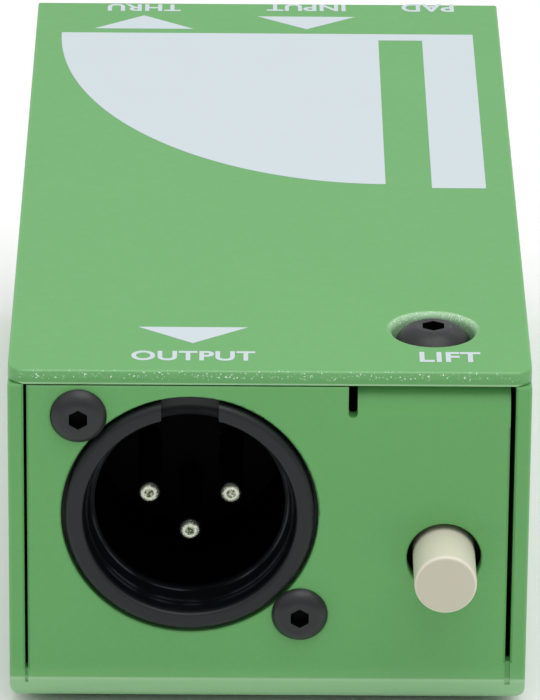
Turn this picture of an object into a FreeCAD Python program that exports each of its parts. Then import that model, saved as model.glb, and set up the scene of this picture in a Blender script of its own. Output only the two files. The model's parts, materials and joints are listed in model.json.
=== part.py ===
import FreeCAD, Part
import math
import os

# Passive direct injection box: a folded steel tray with a flat lid, a three pin socket and a
# lift button on the front, two jacks and a pad button on the rear, and a transformer inside.
# Millimetres. +X right seen from the front, +Y towards the rear, +Z up.
# Origin: centre of the footprint, on the surface that the non-slip pad rests on.

V = FreeCAD.Vector

# --- driving dimensions: case ---
CASE_W = 50.0            # across the side walls
CASE_L = 101.6           # front face to rear face
CASE_H = 35.4            # underside of the tray to the top of the lid
SHEET = 1.5              # folded steel
BEND_R = 3.1             # outer radius of the end panels', tab's and flange's folds
WALL_BEND_R = 2.0        # outer radius of the side walls' folds
COAT_R = 0.2             # coated edges are this round
# open slits beside the end panels, left and right, and how far above the underside they stop
SLITS = {-1: {"width": 0.3, "foot": 3.8}, 1: {"width": 0.5, "foot": 4.8}}
GROOVE_DEPTH = 0.3       # each slit runs on as a groove down to the fold
GROOVE_FOOT = 2.4
LID_GAP = 0.1            # under the lid, over the end panels and their flanges
LID_CORNER_FRONT = 1.8
LID_CORNER_REAR = 0.7
PAD_T = 1.0              # non-slip pad
PAD_INSET = 5.0
PAD_CORNER = 3.0

# --- lid screw: set back from the front face, in a dimple that nests in the front tab ---
TAB_X0 = 8.4             # the tab runs from here to the end panel's right edge
TAB_LEN = 19.0
NOTCH_W = 0.88           # relief cut beside the tab
NOTCH_DEPTH = 3.3
LID_SCREW_X = 15.8
LID_SCREW_BACK = 10.6
DIMPLE_R = 4.0           # mouth of the dimple, before its lip is rounded
DIMPLE_FLOOR_R = 3.9
DIMPLE_LIP_R = 0.7
DIMPLE_DEPTH = 1.85
DIMPLE_NUT_GAP = 0.1     # the pressed dimple stops this far above the nut
BOSS_WALL = 0.8
BOSS_GAP = 0.2
LID_SCREW = {"shank_r": 2.0, "head_r": 3.8, "head_h": 2.2, "socket": 2.1, "length": 8.0}
NUT_SIDE = 12.0
NUT_T = 3.2
THREAD_GAP = 0.05        # a nut's bore is this much wider than its thread's radius
# domed heads: shares of the socket's width (flat) and of the head's radius and height
HEAD = {"flat": 0.79, "rim": 0.14, "bulge_r": 0.62, "bulge_h": 0.66, "socket": 0.95}

# --- rear flange and the hook that the lid slides under it ---
FLANGE_HALF = 16.0
FLANGE_LEN = 8.0
HOOK_HALF = 12.0
HOOK_T = 1.2
HOOK_WELD = 6.0
HOOK_REACH = 5.0

# --- front socket ---
XLR_X = -7.6
XLR_H = 20.3             # axis above the tray's underside
XLR_CAVITY_R = 9.2
XLR_FLARE = 1.1          # the mouth of the cavity is this much wider
XLR_RIM_W = 1.7
XLR_SNOUT_GAP = 0.37     # rim to the panel's hole, all round
XLR_SNOUT_ROUND = 0.7    # the rim's outer edge
XLR_LIP_ROUND = 0.4      # the rim's inner edge
XLR_STEP = 0.15          # small step part of the way down the mouth
XLR_STEP_AT = 1.9
XLR_LEDGE = 0.4          # narrow ledge where the mouth meets the cavity
XLR_PROUD = 0.4          # the rim stands this far in front of the panel
XLR_DEPTH = 23.0         # front face of the panel to the back of the shell
XLR_CAN_WALL = 2.1
XLR_FUNNEL = 3.3
XLR_FLANGE_T = 2.5
XLR_FLANGE_CORNER = 2.0
XLR_FLANGE_EDGE = 2.15   # screw hole's centre to the flange's edge
XLR_SCREW_OUT = 2.515    # screw's centre outside the panel's hole
XLR_SCREW_ANGLE = 44.3   # degrees above the horizontal
XLR_LATCH_W = 5.5
XLR_LATCH_IN = 1.5       # the latch's slot starts this far inside the cavity's wall
XLR_LATCH_STOP = 0.8     # and stops this far short of the mouth's foot
XLR_BOSS_WALL = 1.0      # round the screws
XLR_GROUND = {"w": 4.0, "t": 0.3, "tongue": 2.2, "leg": 8.0}
XLR_GROUND_GAP = 0.1
XLR_PIN_R = 1.2
XLR_PIN_ROUND = 0.55     # the tip's edge
XLR_PIN_CIRCLE = 3.96
XLR_PIN_SET_BACK = 5.1
XLR_PIN_LEN = 13.4       # free length, tip to insert
XLR_INSERT_T = 4.0
XLR_LEG_GAP = 2.5        # the solder legs turn down this far behind the shell
XLR_SCREW = {"shank_r": 1.45, "head_r": 2.72, "head_h": 1.1, "socket": 1.75, "length": 8.0}

# --- push buttons ---
BUTTON_X = 16.9
BUTTON_H = 15.9
BUTTON_R = 3.0
BUTTON_HOLE_GAP = 0.6
BUTTON_PROUD = 6.1
BUTTON_TRAVEL = 2.5
CAP_ROUND = 0.4          # edge of the cap's face
CAP_BACK = 1.5           # the cap ends this far inside the panel
CAP_BACK_GAP = 0.4       # cap to housing, fully pressed
SWITCH_W = 8.0
SWITCH_LEN = 11.0
SWITCH_ABOVE = 4.0       # housing top above the button's axis
SWITCH_WALL = 1.0
BLOCK = 4.8              # sliding block inside the housing
BLOCK_LEN = 3.5
STEM = 2.9
STEM_IN_CAP = 5.0
SLIDE_GAP = 0.1
SPRING_R = 1.7
SPRING_WIRE = 0.2
SPRING_TURNS = 5
SPRING_END_GAP = 0.04    # between the spring's wire and what it bears on

# --- rear jacks ---
JACK_XS = {"thru": -13.4, "input": 4.2}
JACK_H = 19.4
JACK_W = 15.8
JACK_HALF_H = 8.0
JACK_LEN = 27.0
JACK_BORE_R = 3.25       # takes a 6.35 mm plug
JACK_THREAD_R = 4.7
JACK_BUSHING_IN = 4.0
JACK_BUSHING_OUT = 3.7   # beyond the rear face
JACK_WASHER_R = 6.9
JACK_WASHER_T = 0.6
JACK_NUT_AF = 12.7
JACK_NUT_T = 2.2
JACK_NUT_CROWN = {"in": 0.7, "down": 0.9}   # corners of the nut's outer face are turned off
JACK_NOSE_CHAMFER = 0.4
JACK_END_WALL = 2.5      # inner end of the body
JACK_PLUG_GAP = 0.2      # the body's bore is this much wider than the nose's
# the leaf beside the plug's tip and its nub: distances left of the axis, and behind the inner end
TIP_LEAF = {"x": 5.0, "t": 0.4, "y0": 3.0, "y1": 8.5, "low": 1.9, "high": 2.0}
TIP_NUB = {"x": 3.6, "y0": 5.0, "y1": 6.5, "half": 0.8}
TIP_LEG_Y = 5.0
TIP_POCKET_GAP = 0.5
JACK_LEG_W = 1.0
SLEEVE_STRIP_T = 0.5     # strip beside the nose
SLEEVE_STRIP_AT = 2.5    # in front of the rear panel's inner face
SLEEVE_STRIP_TOP = 1.0
JACK_LEG_HOLE_R = 0.6

# --- circuit board ---
BOARD_H = 9.5            # underside of the board above the tray's underside
BOARD_T = 1.6
BOARD_EDGE_GAP = 0.7
BOARD_ARM_X0 = 8.0
BOARD_XLR_GAP = 0.6
PIN_TAIL = 1.3           # solder pins end this far under the board
HOLE_GAP = 0.1
STANDOFF_AF = 5.0
STANDOFF_COLLAR_R = 2.0
STANDOFF_COLLAR_UP = 0.1   # the collar ends this far above the tray's underside
STANDOFF_SOLID = 1.0       # unthreaded foot of the pillar
STANDOFF_LEFT_X = -20.2
STANDOFF_RIGHT_X = 19.5
STANDOFF_BOARD_GAP = 3.2   # left pair: from the board's front edge and from the jacks
STANDOFF_SWITCH_GAP = 4.9  # right pair: from the switches
BOARD_SCREW = {"shank_r": 1.2, "head_r": 2.2, "head_h": 1.3, "socket": 1.5, "length": 6.0}

# --- transformer ---
TRAFO_X = -5.5
TRAFO_LEG_ZONE = 3.2     # kept free in front of it for the socket's legs
TRAFO_JACK_ZONE = 5.0    # kept free behind it
CAN_SIDE = 24.0
CAN_H = 19.0
CAN_WALL = 0.6
CAN_CORNER = 2.0
CAN_TOP_ROUND = 0.5
CORE_W = 20.0
CORE_H = 16.0
CORE_D = 10.0
CORE_LEG = 6.0
CORE_YOKE = 3.0
CORE_WINDOW = 4.0
BOBBIN_GAP = 0.1
BOBBIN_WALL = 0.5
COIL_T = 1.5
COIL_GAP = 0.05
TRAFO_PIN_DX = 4.0
TRAFO_PIN_DY = 7.5
TRAFO_PIN_R = 0.4

# --- small parts on the board ---
RESISTOR_X = 14.5
RESISTOR_COUNT = 5
RESISTOR_FIRST = 9.5     # behind the lift switch
RESISTOR_STEP = 3.6
RESISTOR_R = 1.1
RESISTOR_LEN = 6.0
RESISTOR_PITCH = 10.0
RESISTOR_ROUND = 0.44
RESISTOR_UP = 0.1        # the body clears the board by this much
CAPACITOR = {"x": 14.5, "gap": 5.5, "w": 11.0, "d": 5.0, "h": 9.0, "pitch": 7.5, "round": 0.4}
LEAD_R = 0.3

# --- worked out ---
Z_TRAY = PAD_T
Z_TOP = Z_TRAY + CASE_H
Z_LID = Z_TOP - SHEET                      # underside of the lid
Z_PANEL = Z_LID - LID_GAP                  # top of the end panels
Y_FRONT = -CASE_L / 2
Y_REAR = CASE_L / 2
Y_IN_FRONT = Y_FRONT + SHEET
Y_IN_REAR = Y_REAR - SHEET
X_OUT = CASE_W / 2
X_IN = X_OUT - SHEET
X_PANEL = X_IN - SLITS[1]["width"]          # right edge of an end panel
XLR_Z = Z_TRAY + XLR_H
BUTTON_Z = Z_TRAY + BUTTON_H
JACK_Z = Z_TRAY + JACK_H
Z_BOARD = Z_TRAY + BOARD_H
Z_BOARD_TOP = Z_BOARD + BOARD_T
Z_TAIL = Z_BOARD - PIN_TAIL
LID_SCREW_Y = Y_FRONT + LID_SCREW_BACK
DIMPLE_FLOOR_T = 2 * SHEET + LID_GAP - DIMPLE_NUT_GAP - DIMPLE_DEPTH
BOSS_R = DIMPLE_FLOOR_R + BOSS_WALL
XLR_RIM_R = XLR_CAVITY_R + XLR_FLARE       # inner edge of the rim
XLR_SNOUT_R = XLR_RIM_R + XLR_RIM_W
XLR_HOLE_R = XLR_SNOUT_R + XLR_SNOUT_GAP
XLR_CAN_R = XLR_CAVITY_R + XLR_CAN_WALL
XLR_SCREW_DX = (XLR_HOLE_R + XLR_SCREW_OUT) * math.cos(math.radians(XLR_SCREW_ANGLE))
XLR_SCREW_DZ = (XLR_HOLE_R + XLR_SCREW_OUT) * math.sin(math.radians(XLR_SCREW_ANGLE))
XLR_FLANGE = 2 * (XLR_SCREW_DX + XLR_FLANGE_EDGE)
XLR_LEG_Y = Y_FRONT + XLR_DEPTH + XLR_LEG_GAP
BUTTON_HOLE_R = BUTTON_R + BUTTON_HOLE_GAP
BOARD_Y0 = Y_FRONT + XLR_DEPTH + BOARD_XLR_GAP
HOUSING_Y0 = Y_IN_FRONT + CAP_BACK + BUTTON_TRAVEL + CAP_BACK_GAP
HOUSING_Y1 = HOUSING_Y0 + SWITCH_LEN
JACK_Y0 = Y_IN_REAR - JACK_LEN             # inner end of the jacks
STANDOFF_POINTS = [
    (STANDOFF_LEFT_X, BOARD_Y0 + STANDOFF_BOARD_GAP),
    (STANDOFF_LEFT_X, JACK_Y0 - STANDOFF_BOARD_GAP),
    (STANDOFF_RIGHT_X, HOUSING_Y1 + STANDOFF_SWITCH_GAP),
    (STANDOFF_RIGHT_X, -HOUSING_Y1 - STANDOFF_SWITCH_GAP),
]
TRAFO_Y = (BOARD_Y0 + TRAFO_LEG_ZONE + JACK_Y0 - TRAFO_JACK_ZONE) / 2
CAN_Z0 = Z_BOARD_TOP
RESISTOR_YS = [HOUSING_Y1 + RESISTOR_FIRST + k * RESISTOR_STEP for k in range(RESISTOR_COUNT)]
CAPACITOR_Y = RESISTOR_YS[-1] + CAPACITOR["gap"]
EPS = 1.0                                  # overshoot of cutting tools


# ---------------------------------------------------------------- helpers
def box(x0, x1, y0, y1, z0, z1):
    """Block between two corners."""
    return Part.makeBox(x1 - x0, y1 - y0, z1 - z0, V(x0, y0, z0))


def rod(start, direction, radius, length):
    """Cylinder from a start point along a direction."""
    return Part.makeCylinder(radius, length, V(*start), V(*direction))


def revolve_y(points, x, z):
    """Closed (radius, y) outline turned about a line along Y through (x, z)."""
    wire = Part.makePolygon([V(x + r, y, z) for r, y in points + points[:1]])
    return Part.Face(wire).revolve(V(x, 0, z), V(0, 1, 0), 360)


def hexagon_prism(start, direction, across_flats, length):
    """Hexagonal prism from a start point along a direction."""
    radius = across_flats / math.sqrt(3)
    corners = []
    for k in range(7):
        angle = math.radians(60 * k + 30)
        corners.append(V(radius * math.cos(angle), radius * math.sin(angle), 0))
    prism = Part.Face(Part.makePolygon(corners)).extrude(V(0, 0, length))
    prism.Placement = FreeCAD.Placement(V(*start), FreeCAD.Rotation(V(0, 0, 1), V(*direction)))
    return prism


def edges_where(shape, test):
    """The edges whose two ends both pass a test on their position."""
    chosen = []
    for edge in shape.Edges:
        if all(test(v.Point) for v in edge.Vertexes):
            chosen.append(edge)
    return chosen


def near(a, b):
    return abs(a - b) < 1e-4


def angle_strip(x0, x1, y_corner, z_corner, leg_y, leg_z):
    """Folded L of sheet: signed legs run along Y and Z from its outer corner."""
    sy = math.copysign(1, leg_y)
    sz = math.copysign(1, leg_z)
    inner_r = BEND_R - SHEET
    bow = math.sqrt(0.5)

    def at(a, b):
        return V(x0, y_corner + sy * a, z_corner + sz * b)

    length_y = abs(leg_y)
    length_z = abs(leg_z)
    edges = [
        Part.LineSegment(at(length_y, 0), at(BEND_R, 0)),
        Part.Arc(at(BEND_R, 0), at(BEND_R * (1 - bow), BEND_R * (1 - bow)), at(0, BEND_R)),
        Part.LineSegment(at(0, BEND_R), at(0, length_z)),
        Part.LineSegment(at(0, length_z), at(SHEET, length_z)),
        Part.LineSegment(at(SHEET, length_z), at(SHEET, BEND_R)),
        Part.Arc(at(SHEET, BEND_R), at(BEND_R - inner_r * bow, BEND_R - inner_r * bow), at(BEND_R, SHEET)),
        Part.LineSegment(at(BEND_R, SHEET), at(length_y, SHEET)),
        Part.LineSegment(at(length_y, SHEET), at(length_y, 0)),
    ]
    wire = Part.Wire([edge.toShape() for edge in edges])
    return Part.Face(wire).extrude(V(x1 - x0, 0, 0))


def button_head_screw(size, point, direction):
    """Domed socket screw: the head's seat is at the point, the shank runs along the direction."""
    head_r = size["head_r"]
    head_h = size["head_h"]
    flat_r = size["socket"] * HEAD["flat"]
    rim = head_h * HEAD["rim"]
    mid_r = flat_r + (head_r - flat_r) * HEAD["bulge_r"]
    mid_h = rim + (head_h - rim) * HEAD["bulge_h"]
    shank_r = size["shank_r"]
    length = size["length"]
    outline = [
        Part.LineSegment(V(0, 0, head_h), V(flat_r, 0, head_h)),
        Part.Arc(V(flat_r, 0, head_h), V(mid_r, 0, mid_h), V(head_r, 0, rim)),
        Part.LineSegment(V(head_r, 0, rim), V(head_r, 0, 0)),
        Part.LineSegment(V(head_r, 0, 0), V(shank_r, 0, 0)),
        Part.LineSegment(V(shank_r, 0, 0), V(shank_r, 0, -length)),
        Part.LineSegment(V(shank_r, 0, -length), V(0, 0, -length)),
        Part.LineSegment(V(0, 0, -length), V(0, 0, head_h)),
    ]
    wire = Part.Wire([edge.toShape() for edge in outline])
    screw = Part.Face(wire).revolve(V(0, 0, 0), V(0, 0, 1), 360)
    socket_depth = head_h * HEAD["socket"]
    socket = hexagon_prism((0, 0, head_h - socket_depth), (0, 0, 1), size["socket"], socket_depth + EPS)
    screw = screw.cut(socket)
    turn = FreeCAD.Rotation(V(0, 0, -1), V(*direction))
    screw.Placement = FreeCAD.Placement(V(*point), turn)
    return screw


def turned_about_z(shape, x):
    """Half a turn about the vertical line through (x, 0): carries a front part to the rear."""
    return shape.rotate(V(x, 0, 0), V(0, 0, 1), 180)


def save(name, shape):
    shape.exportStep("parts/%s.step" % name)
    print("%-24s %8.1f mm3  %d solid(s)" % (name, shape.Volume, len(shape.Solids)))


# ---------------------------------------------------------------- case
def fold_corner(y_face, sign):
    """What the side walls' lower corners lose, so that they follow the end panel's fold."""
    y_bend = y_face + sign * BEND_R
    y0, y1 = sorted((y_face - sign * EPS, y_bend))
    block = box(-X_OUT - EPS, X_OUT + EPS, y0, y1, Z_TRAY - EPS, Z_TRAY + BEND_R)
    return block.cut(rod((-X_OUT - 2 * EPS, y_bend, Z_TRAY + BEND_R), (1, 0, 0), BEND_R, CASE_W + 4 * EPS))


def tray_body():
    """Floor and side walls folded up from one sheet, with both end panels."""
    outer = box(-X_OUT, X_OUT, Y_FRONT, Y_REAR, Z_TRAY, Z_LID)
    bottom = edges_where(outer, lambda p: near(abs(p.x), X_OUT) and near(p.z, Z_TRAY))
    long_bottom = [e for e in bottom if e.Length > CASE_L - EPS]
    outer = outer.makeFillet(WALL_BEND_R, long_bottom)
    inner = box(-X_IN, X_IN, Y_FRONT - EPS, Y_REAR + EPS, Z_TRAY + SHEET, Z_LID + EPS)
    low = edges_where(inner, lambda p: near(abs(p.x), X_IN) and near(p.z, Z_TRAY + SHEET))
    long_low = [e for e in low if e.Length > CASE_L]
    inner = inner.makeFillet(WALL_BEND_R - SHEET, long_low)
    tray = outer.cut(inner)
    fold = BEND_R + EPS
    for y_face, sign in ((Y_FRONT, 1), (Y_REAR, -1)):
        tray = tray.cut(fold_corner(y_face, sign))
        y_cut = sorted((y_face - sign * EPS, y_face + sign * BEND_R))
        tray = tray.cut(box(-X_IN, X_IN, y_cut[0], y_cut[1], Z_TRAY - EPS, Z_LID + EPS))
        tray = tray.fuse(angle_strip(-X_IN, X_IN, y_face, Z_TRAY, sign * fold, Z_PANEL - Z_TRAY))
    return tray.removeSplitter()


def slit_tools():
    """Open slits beside both end panels, and the grooves below them."""
    tools = []
    for side, slit in SLITS.items():
        x0, x1 = sorted((side * (X_IN - slit["width"]), side * X_IN))
        z_foot = Z_TRAY + slit["foot"]
        for y_face, sign in ((Y_FRONT, 1), (Y_REAR, -1)):
            y0, y1 = sorted((y_face - sign * EPS, y_face + sign * (SHEET + EPS)))
            tools.append(box(x0, x1, y0, y1, z_foot, Z_LID + EPS))
            mouth = [
                (x0 - COAT_R, y_face), (x0, y_face + sign * COAT_R),
                (x1, y_face + sign * COAT_R), (x1 + COAT_R, y_face),
            ]
            wire = Part.makePolygon([V(x, y, z_foot) for x, y in mouth + mouth[:1]])
            tools.append(Part.Face(wire).extrude(V(0, 0, CASE_H)))
            g0, g1 = sorted((y_face - sign * EPS, y_face + sign * GROOVE_DEPTH))
            tools.append(box(x0, x1, g0, g1, Z_TRAY + GROOVE_FOOT, z_foot + EPS))
    return tools


def base_tray():
    tray = tray_body()
    for tool in slit_tools():
        tray = tray.cut(tool)
    # front tab: the panel's top right part is folded inwards under the lid
    z_bend = Z_PANEL - BEND_R
    tray = tray.cut(box(TAB_X0, X_PANEL, Y_FRONT - EPS, Y_IN_FRONT + EPS, z_bend, Z_LID + EPS))
    tray = tray.fuse(angle_strip(TAB_X0, X_PANEL, Y_FRONT, Z_PANEL, TAB_LEN, -BEND_R - EPS))
    notch_r = NOTCH_W / 2
    notch_x = TAB_X0 - notch_r
    notch_z = Z_LID - NOTCH_DEPTH + notch_r
    tray = tray.cut(box(TAB_X0 - NOTCH_W, TAB_X0, Y_FRONT - EPS, Y_IN_FRONT + EPS, notch_z, Z_LID + EPS))
    tray = tray.cut(rod((notch_x, Y_FRONT - EPS, notch_z), (0, 1, 0), notch_r, SHEET + 2 * EPS))
    # rear flange
    tray = tray.cut(box(-FLANGE_HALF, FLANGE_HALF, Y_IN_REAR - EPS, Y_REAR + EPS, z_bend, Z_LID + EPS))
    tray = tray.fuse(angle_strip(-FLANGE_HALF, FLANGE_HALF, Y_REAR, Z_PANEL, -FLANGE_LEN, -BEND_R - EPS))
    tray = tray.removeSplitter()
    through = SHEET + 2 * EPS
    tray = tray.cut(rod((XLR_X, Y_FRONT - EPS, XLR_Z), (0, 1, 0), XLR_HOLE_R, through))
    for x, z in xlr_screw_points():
        tray = tray.cut(rod((x, Y_FRONT - EPS, z), (0, 1, 0), XLR_SCREW["shank_r"] + HOLE_GAP, through))
    tray = tray.cut(rod((BUTTON_X, Y_FRONT - EPS, BUTTON_Z), (0, 1, 0), BUTTON_HOLE_R, through))
    tray = tray.cut(rod((BUTTON_X, Y_IN_REAR - EPS, BUTTON_Z), (0, 1, 0), BUTTON_HOLE_R, through))
    for x in JACK_XS.values():
        tray = tray.cut(rod((x, Y_IN_REAR - EPS, JACK_Z), (0, 1, 0), JACK_THREAD_R + HOLE_GAP, through))
    boss_start = (LID_SCREW_X, LID_SCREW_Y, Z_PANEL - SHEET - EPS)
    tray = tray.cut(rod(boss_start, (0, 0, 1), BOSS_R + BOSS_GAP, through))
    for x, y in STANDOFF_POINTS:
        tray = tray.cut(rod((x, y, Z_TRAY - EPS), (0, 0, 1), STANDOFF_COLLAR_R + HOLE_GAP / 2, through))
    return tray.makeFillet(COAT_R, coated_edges(tray))


def coated_edges(tray):
    """The side walls' outer cut edges, and the rims of the round holes in the end panels."""
    chosen = []
    for edge in tray.Edges:
        ends = [v.Point for v in edge.Vertexes]
        on_face = all(near(abs(p.y), Y_REAR) for p in ends)
        outside = all(near(abs(p.x), X_OUT) for p in ends)
        along_top = all(near(p.z, Z_LID) for p in ends)
        upright = near(ends[0].y, ends[-1].y) and edge.Length > CASE_H / 2
        is_rim = edge.Curve.TypeId == "Part::GeomCircle" and edge.Length > 2 * math.pi * BUTTON_R
        if on_face and (is_rim or (outside and (upright or along_top))):
            chosen.append(edge)
    return chosen


def lid_plate():
    """Flat lid, with a dimple pressed down for the screw's head."""
    lid = box(-X_OUT, X_OUT, Y_FRONT, Y_REAR, Z_LID, Z_TOP)
    upright = [e for e in lid.Edges if near(e.Vertexes[0].X, e.Vertexes[1].X) and near(e.Length, SHEET)]
    front = [e for e in upright if near(e.Vertexes[0].Y, Y_FRONT)]
    lid = lid.makeFillet(LID_CORNER_FRONT, front)
    rear = edges_where(lid, lambda p: near(p.y, Y_REAR) and near(abs(p.x), X_OUT))
    lid = lid.makeFillet(LID_CORNER_REAR, rear)
    rim = edges_where(lid, lambda p: near(p.z, Z_TOP)) + edges_where(lid, lambda p: near(p.z, Z_LID))
    lid = lid.makeFillet(COAT_R, rim)
    floor_z = Z_TOP - DIMPLE_DEPTH
    boss_z = floor_z - DIMPLE_FLOOR_T
    boss = rod((LID_SCREW_X, LID_SCREW_Y, boss_z), (0, 0, 1), BOSS_R, Z_LID - boss_z + SHEET / 2)
    lid = lid.fuse(boss)
    cup = Part.makeCone(
        DIMPLE_FLOOR_R, DIMPLE_R, DIMPLE_DEPTH, V(LID_SCREW_X, LID_SCREW_Y, floor_z), V(0, 0, 1)
    )
    lid = lid.cut(cup)
    hole_r = LID_SCREW["shank_r"] + HOLE_GAP
    lid = lid.cut(rod((LID_SCREW_X, LID_SCREW_Y, boss_z - EPS), (0, 0, 1), hole_r, DIMPLE_DEPTH + 2 * EPS))
    mouth = [
        e for e in lid.Edges
        if near(e.Vertexes[0].Z, Z_TOP) and near(e.Length, 2 * math.pi * DIMPLE_R)
    ]
    return lid.makeFillet(DIMPLE_LIP_R, mouth)


def lid_screw():
    return button_head_screw(LID_SCREW, (LID_SCREW_X, LID_SCREW_Y, Z_TOP - DIMPLE_DEPTH), (0, 0, -1))


def lid_weld_nut():
    """Square nut under the front tab."""
    half = NUT_SIDE / 2
    z1 = Z_PANEL - SHEET
    nut = box(LID_SCREW_X - half, LID_SCREW_X + half, LID_SCREW_Y - half, LID_SCREW_Y + half, z1 - NUT_T, z1)
    start = (LID_SCREW_X, LID_SCREW_Y, z1 - NUT_T - EPS)
    return nut.cut(rod(start, (0, 0, 1), LID_SCREW["shank_r"] + THREAD_GAP, NUT_T + 2 * EPS))


def lid_rear_hook():
    """Folded strip under the lid that slides under the rear flange."""
    y_step = Y_REAR - FLANGE_LEN - LID_GAP
    z_low = Z_PANEL - SHEET - LID_GAP
    outline = [
        (y_step - HOOK_WELD, Z_LID),
        (y_step, Z_LID),
        (y_step, z_low),
        (y_step + HOOK_REACH, z_low),
        (y_step + HOOK_REACH, z_low - HOOK_T),
        (y_step - HOOK_T, z_low - HOOK_T),
        (y_step - HOOK_T, Z_LID - HOOK_T),
        (y_step - HOOK_WELD, Z_LID - HOOK_T),
    ]
    wire = Part.makePolygon([V(-HOOK_HALF, y, z) for y, z in outline + outline[:1]])
    return Part.Face(wire).extrude(V(2 * HOOK_HALF, 0, 0))


def nonslip_pad():
    x = X_OUT - PAD_INSET
    y = Y_REAR - PAD_INSET
    pad = box(-x, x, -y, y, 0, PAD_T)
    upright = [e for e in pad.Edges if near(e.Length, PAD_T) and near(e.Vertexes[0].X, e.Vertexes[1].X)]
    return pad.makeFillet(PAD_CORNER, upright)


# ---------------------------------------------------------------- front socket
def xlr_screw_points():
    return [
        (XLR_X - XLR_SCREW_DX, XLR_Z + XLR_SCREW_DZ),
        (XLR_X + XLR_SCREW_DX, XLR_Z - XLR_SCREW_DZ),
    ]


def xlr_pin_points():
    return [
        (XLR_X + XLR_PIN_CIRCLE, XLR_Z),
        (XLR_X - XLR_PIN_CIRCLE, XLR_Z),
        (XLR_X, XLR_Z - XLR_PIN_CIRCLE),
    ]


def xlr_shell():
    """Round snout in the panel, square flange behind it, and the can that holds the insert."""
    half = XLR_FLANGE / 2
    y_back = Y_FRONT + XLR_DEPTH
    y_flange = Y_IN_FRONT + XLR_FLANGE_T
    flange = box(XLR_X - half, XLR_X + half, Y_IN_FRONT, y_flange, XLR_Z - half, XLR_Z + half)
    along_y = [e for e in flange.Edges if near(e.Length, XLR_FLANGE_T)]
    flange = flange.makeFillet(XLR_FLANGE_CORNER, along_y)
    shell = revolve_y(
        [(0, Y_FRONT - XLR_PROUD), (XLR_SNOUT_R, Y_FRONT - XLR_PROUD), (XLR_SNOUT_R, Y_IN_FRONT),
         (XLR_CAN_R, Y_IN_FRONT), (XLR_CAN_R, y_back), (0, y_back)],
        XLR_X, XLR_Z,
    )
    front_edge = [
        e for e in shell.Edges
        if near(e.Length, 2 * math.pi * XLR_SNOUT_R) and near(e.Vertexes[0].Y, Y_FRONT - XLR_PROUD)
    ]
    shell = shell.makeFillet(XLR_SNOUT_ROUND, front_edge)
    shell = shell.fuse(flange)
    for x, z in xlr_screw_points():
        boss_r = XLR_SCREW["shank_r"] + XLR_BOSS_WALL
        shell = shell.fuse(rod((x, Y_IN_FRONT, z), (0, 1, 0), boss_r, XLR_SCREW["length"]))
    y0 = Y_FRONT - XLR_PROUD
    y_step = y0 + XLR_STEP_AT
    y_ledge = Y_FRONT + XLR_FUNNEL
    foot_r = XLR_CAVITY_R + XLR_LEDGE
    slope = (XLR_RIM_R - XLR_STEP - foot_r) / (y_ledge - y0)
    step_r = XLR_RIM_R - slope * XLR_STEP_AT
    bore = revolve_y(
        [(0, y0 - EPS), (XLR_RIM_R, y0 - EPS), (XLR_RIM_R, y0), (step_r, y_step), (step_r - XLR_STEP, y_step),
         (foot_r, y_ledge), (XLR_CAVITY_R, y_ledge), (XLR_CAVITY_R, y_back + EPS), (0, y_back + EPS)],
        XLR_X, XLR_Z,
    )
    shell = shell.cut(bore)
    lip = [
        e for e in shell.Edges
        if near(e.Length, 2 * math.pi * XLR_RIM_R) and near(e.Vertexes[0].Y, y0)
    ]
    shell = shell.makeFillet(XLR_LIP_ROUND, lip)
    # the latch's slot is open at the front and leaves the flange whole
    shell = shell.cut(box(
        XLR_X - XLR_LATCH_W / 2, XLR_X + XLR_LATCH_W / 2, y0 - EPS, y_ledge - XLR_LATCH_STOP,
        XLR_Z + XLR_CAVITY_R - XLR_LATCH_IN, XLR_Z + XLR_SNOUT_R + EPS,
    ))
    length = XLR_SCREW["length"] + 2 * EPS
    for x, z in xlr_screw_points():
        shell = shell.cut(rod((x, Y_IN_FRONT - EPS, z), (0, 1, 0), XLR_SCREW["shank_r"], length))
    # shallow seat for the ground contact
    z_low = XLR_Z - half
    seat_half = XLR_GROUND["w"] / 2 + XLR_GROUND_GAP
    y_seat = Y_IN_FRONT + XLR_GROUND["t"] + XLR_GROUND_GAP / 2
    z_seat = z_low + XLR_GROUND["tongue"] + XLR_GROUND_GAP
    return shell.cut(box(XLR_X - seat_half, XLR_X + seat_half, Y_IN_FRONT - EPS, y_seat, z_low - EPS, z_seat))


def xlr_insert():
    """Insulator at the bottom of the cavity."""
    y0 = Y_FRONT + XLR_PIN_SET_BACK + XLR_PIN_LEN
    insert = rod((XLR_X, y0, XLR_Z), (0, 1, 0), XLR_CAVITY_R, XLR_INSERT_T)
    for x, z in xlr_pin_points():
        insert = insert.cut(rod((x, y0 - EPS, z), (0, 1, 0), XLR_PIN_R, XLR_INSERT_T + 2 * EPS))
    return insert


def xlr_pin(x, z):
    """Round contact with a rounded tip, and a thinner solder leg turned down into the board."""
    tip = Y_FRONT + XLR_PIN_SET_BACK
    y_end = tip + XLR_PIN_LEN + XLR_INSERT_T
    pin = rod((x, tip, z), (0, 1, 0), XLR_PIN_R, y_end - tip)
    rim = 2 * math.pi * XLR_PIN_R
    tip_edge = [e for e in pin.Edges if near(e.Vertexes[0].Y, tip) and near(e.Length, rim)]
    pin = pin.makeFillet(XLR_PIN_ROUND, tip_edge)
    leg_r = XLR_PIN_R / 2
    pin = pin.fuse(rod((x, y_end - EPS, z), (0, 1, 0), leg_r, XLR_LEG_Y - y_end + EPS))
    pin = pin.fuse(Part.makeSphere(leg_r, V(x, XLR_LEG_Y, z)))
    return pin.fuse(rod((x, XLR_LEG_Y, Z_TAIL), (0, 0, 1), leg_r, z - Z_TAIL))


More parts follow.
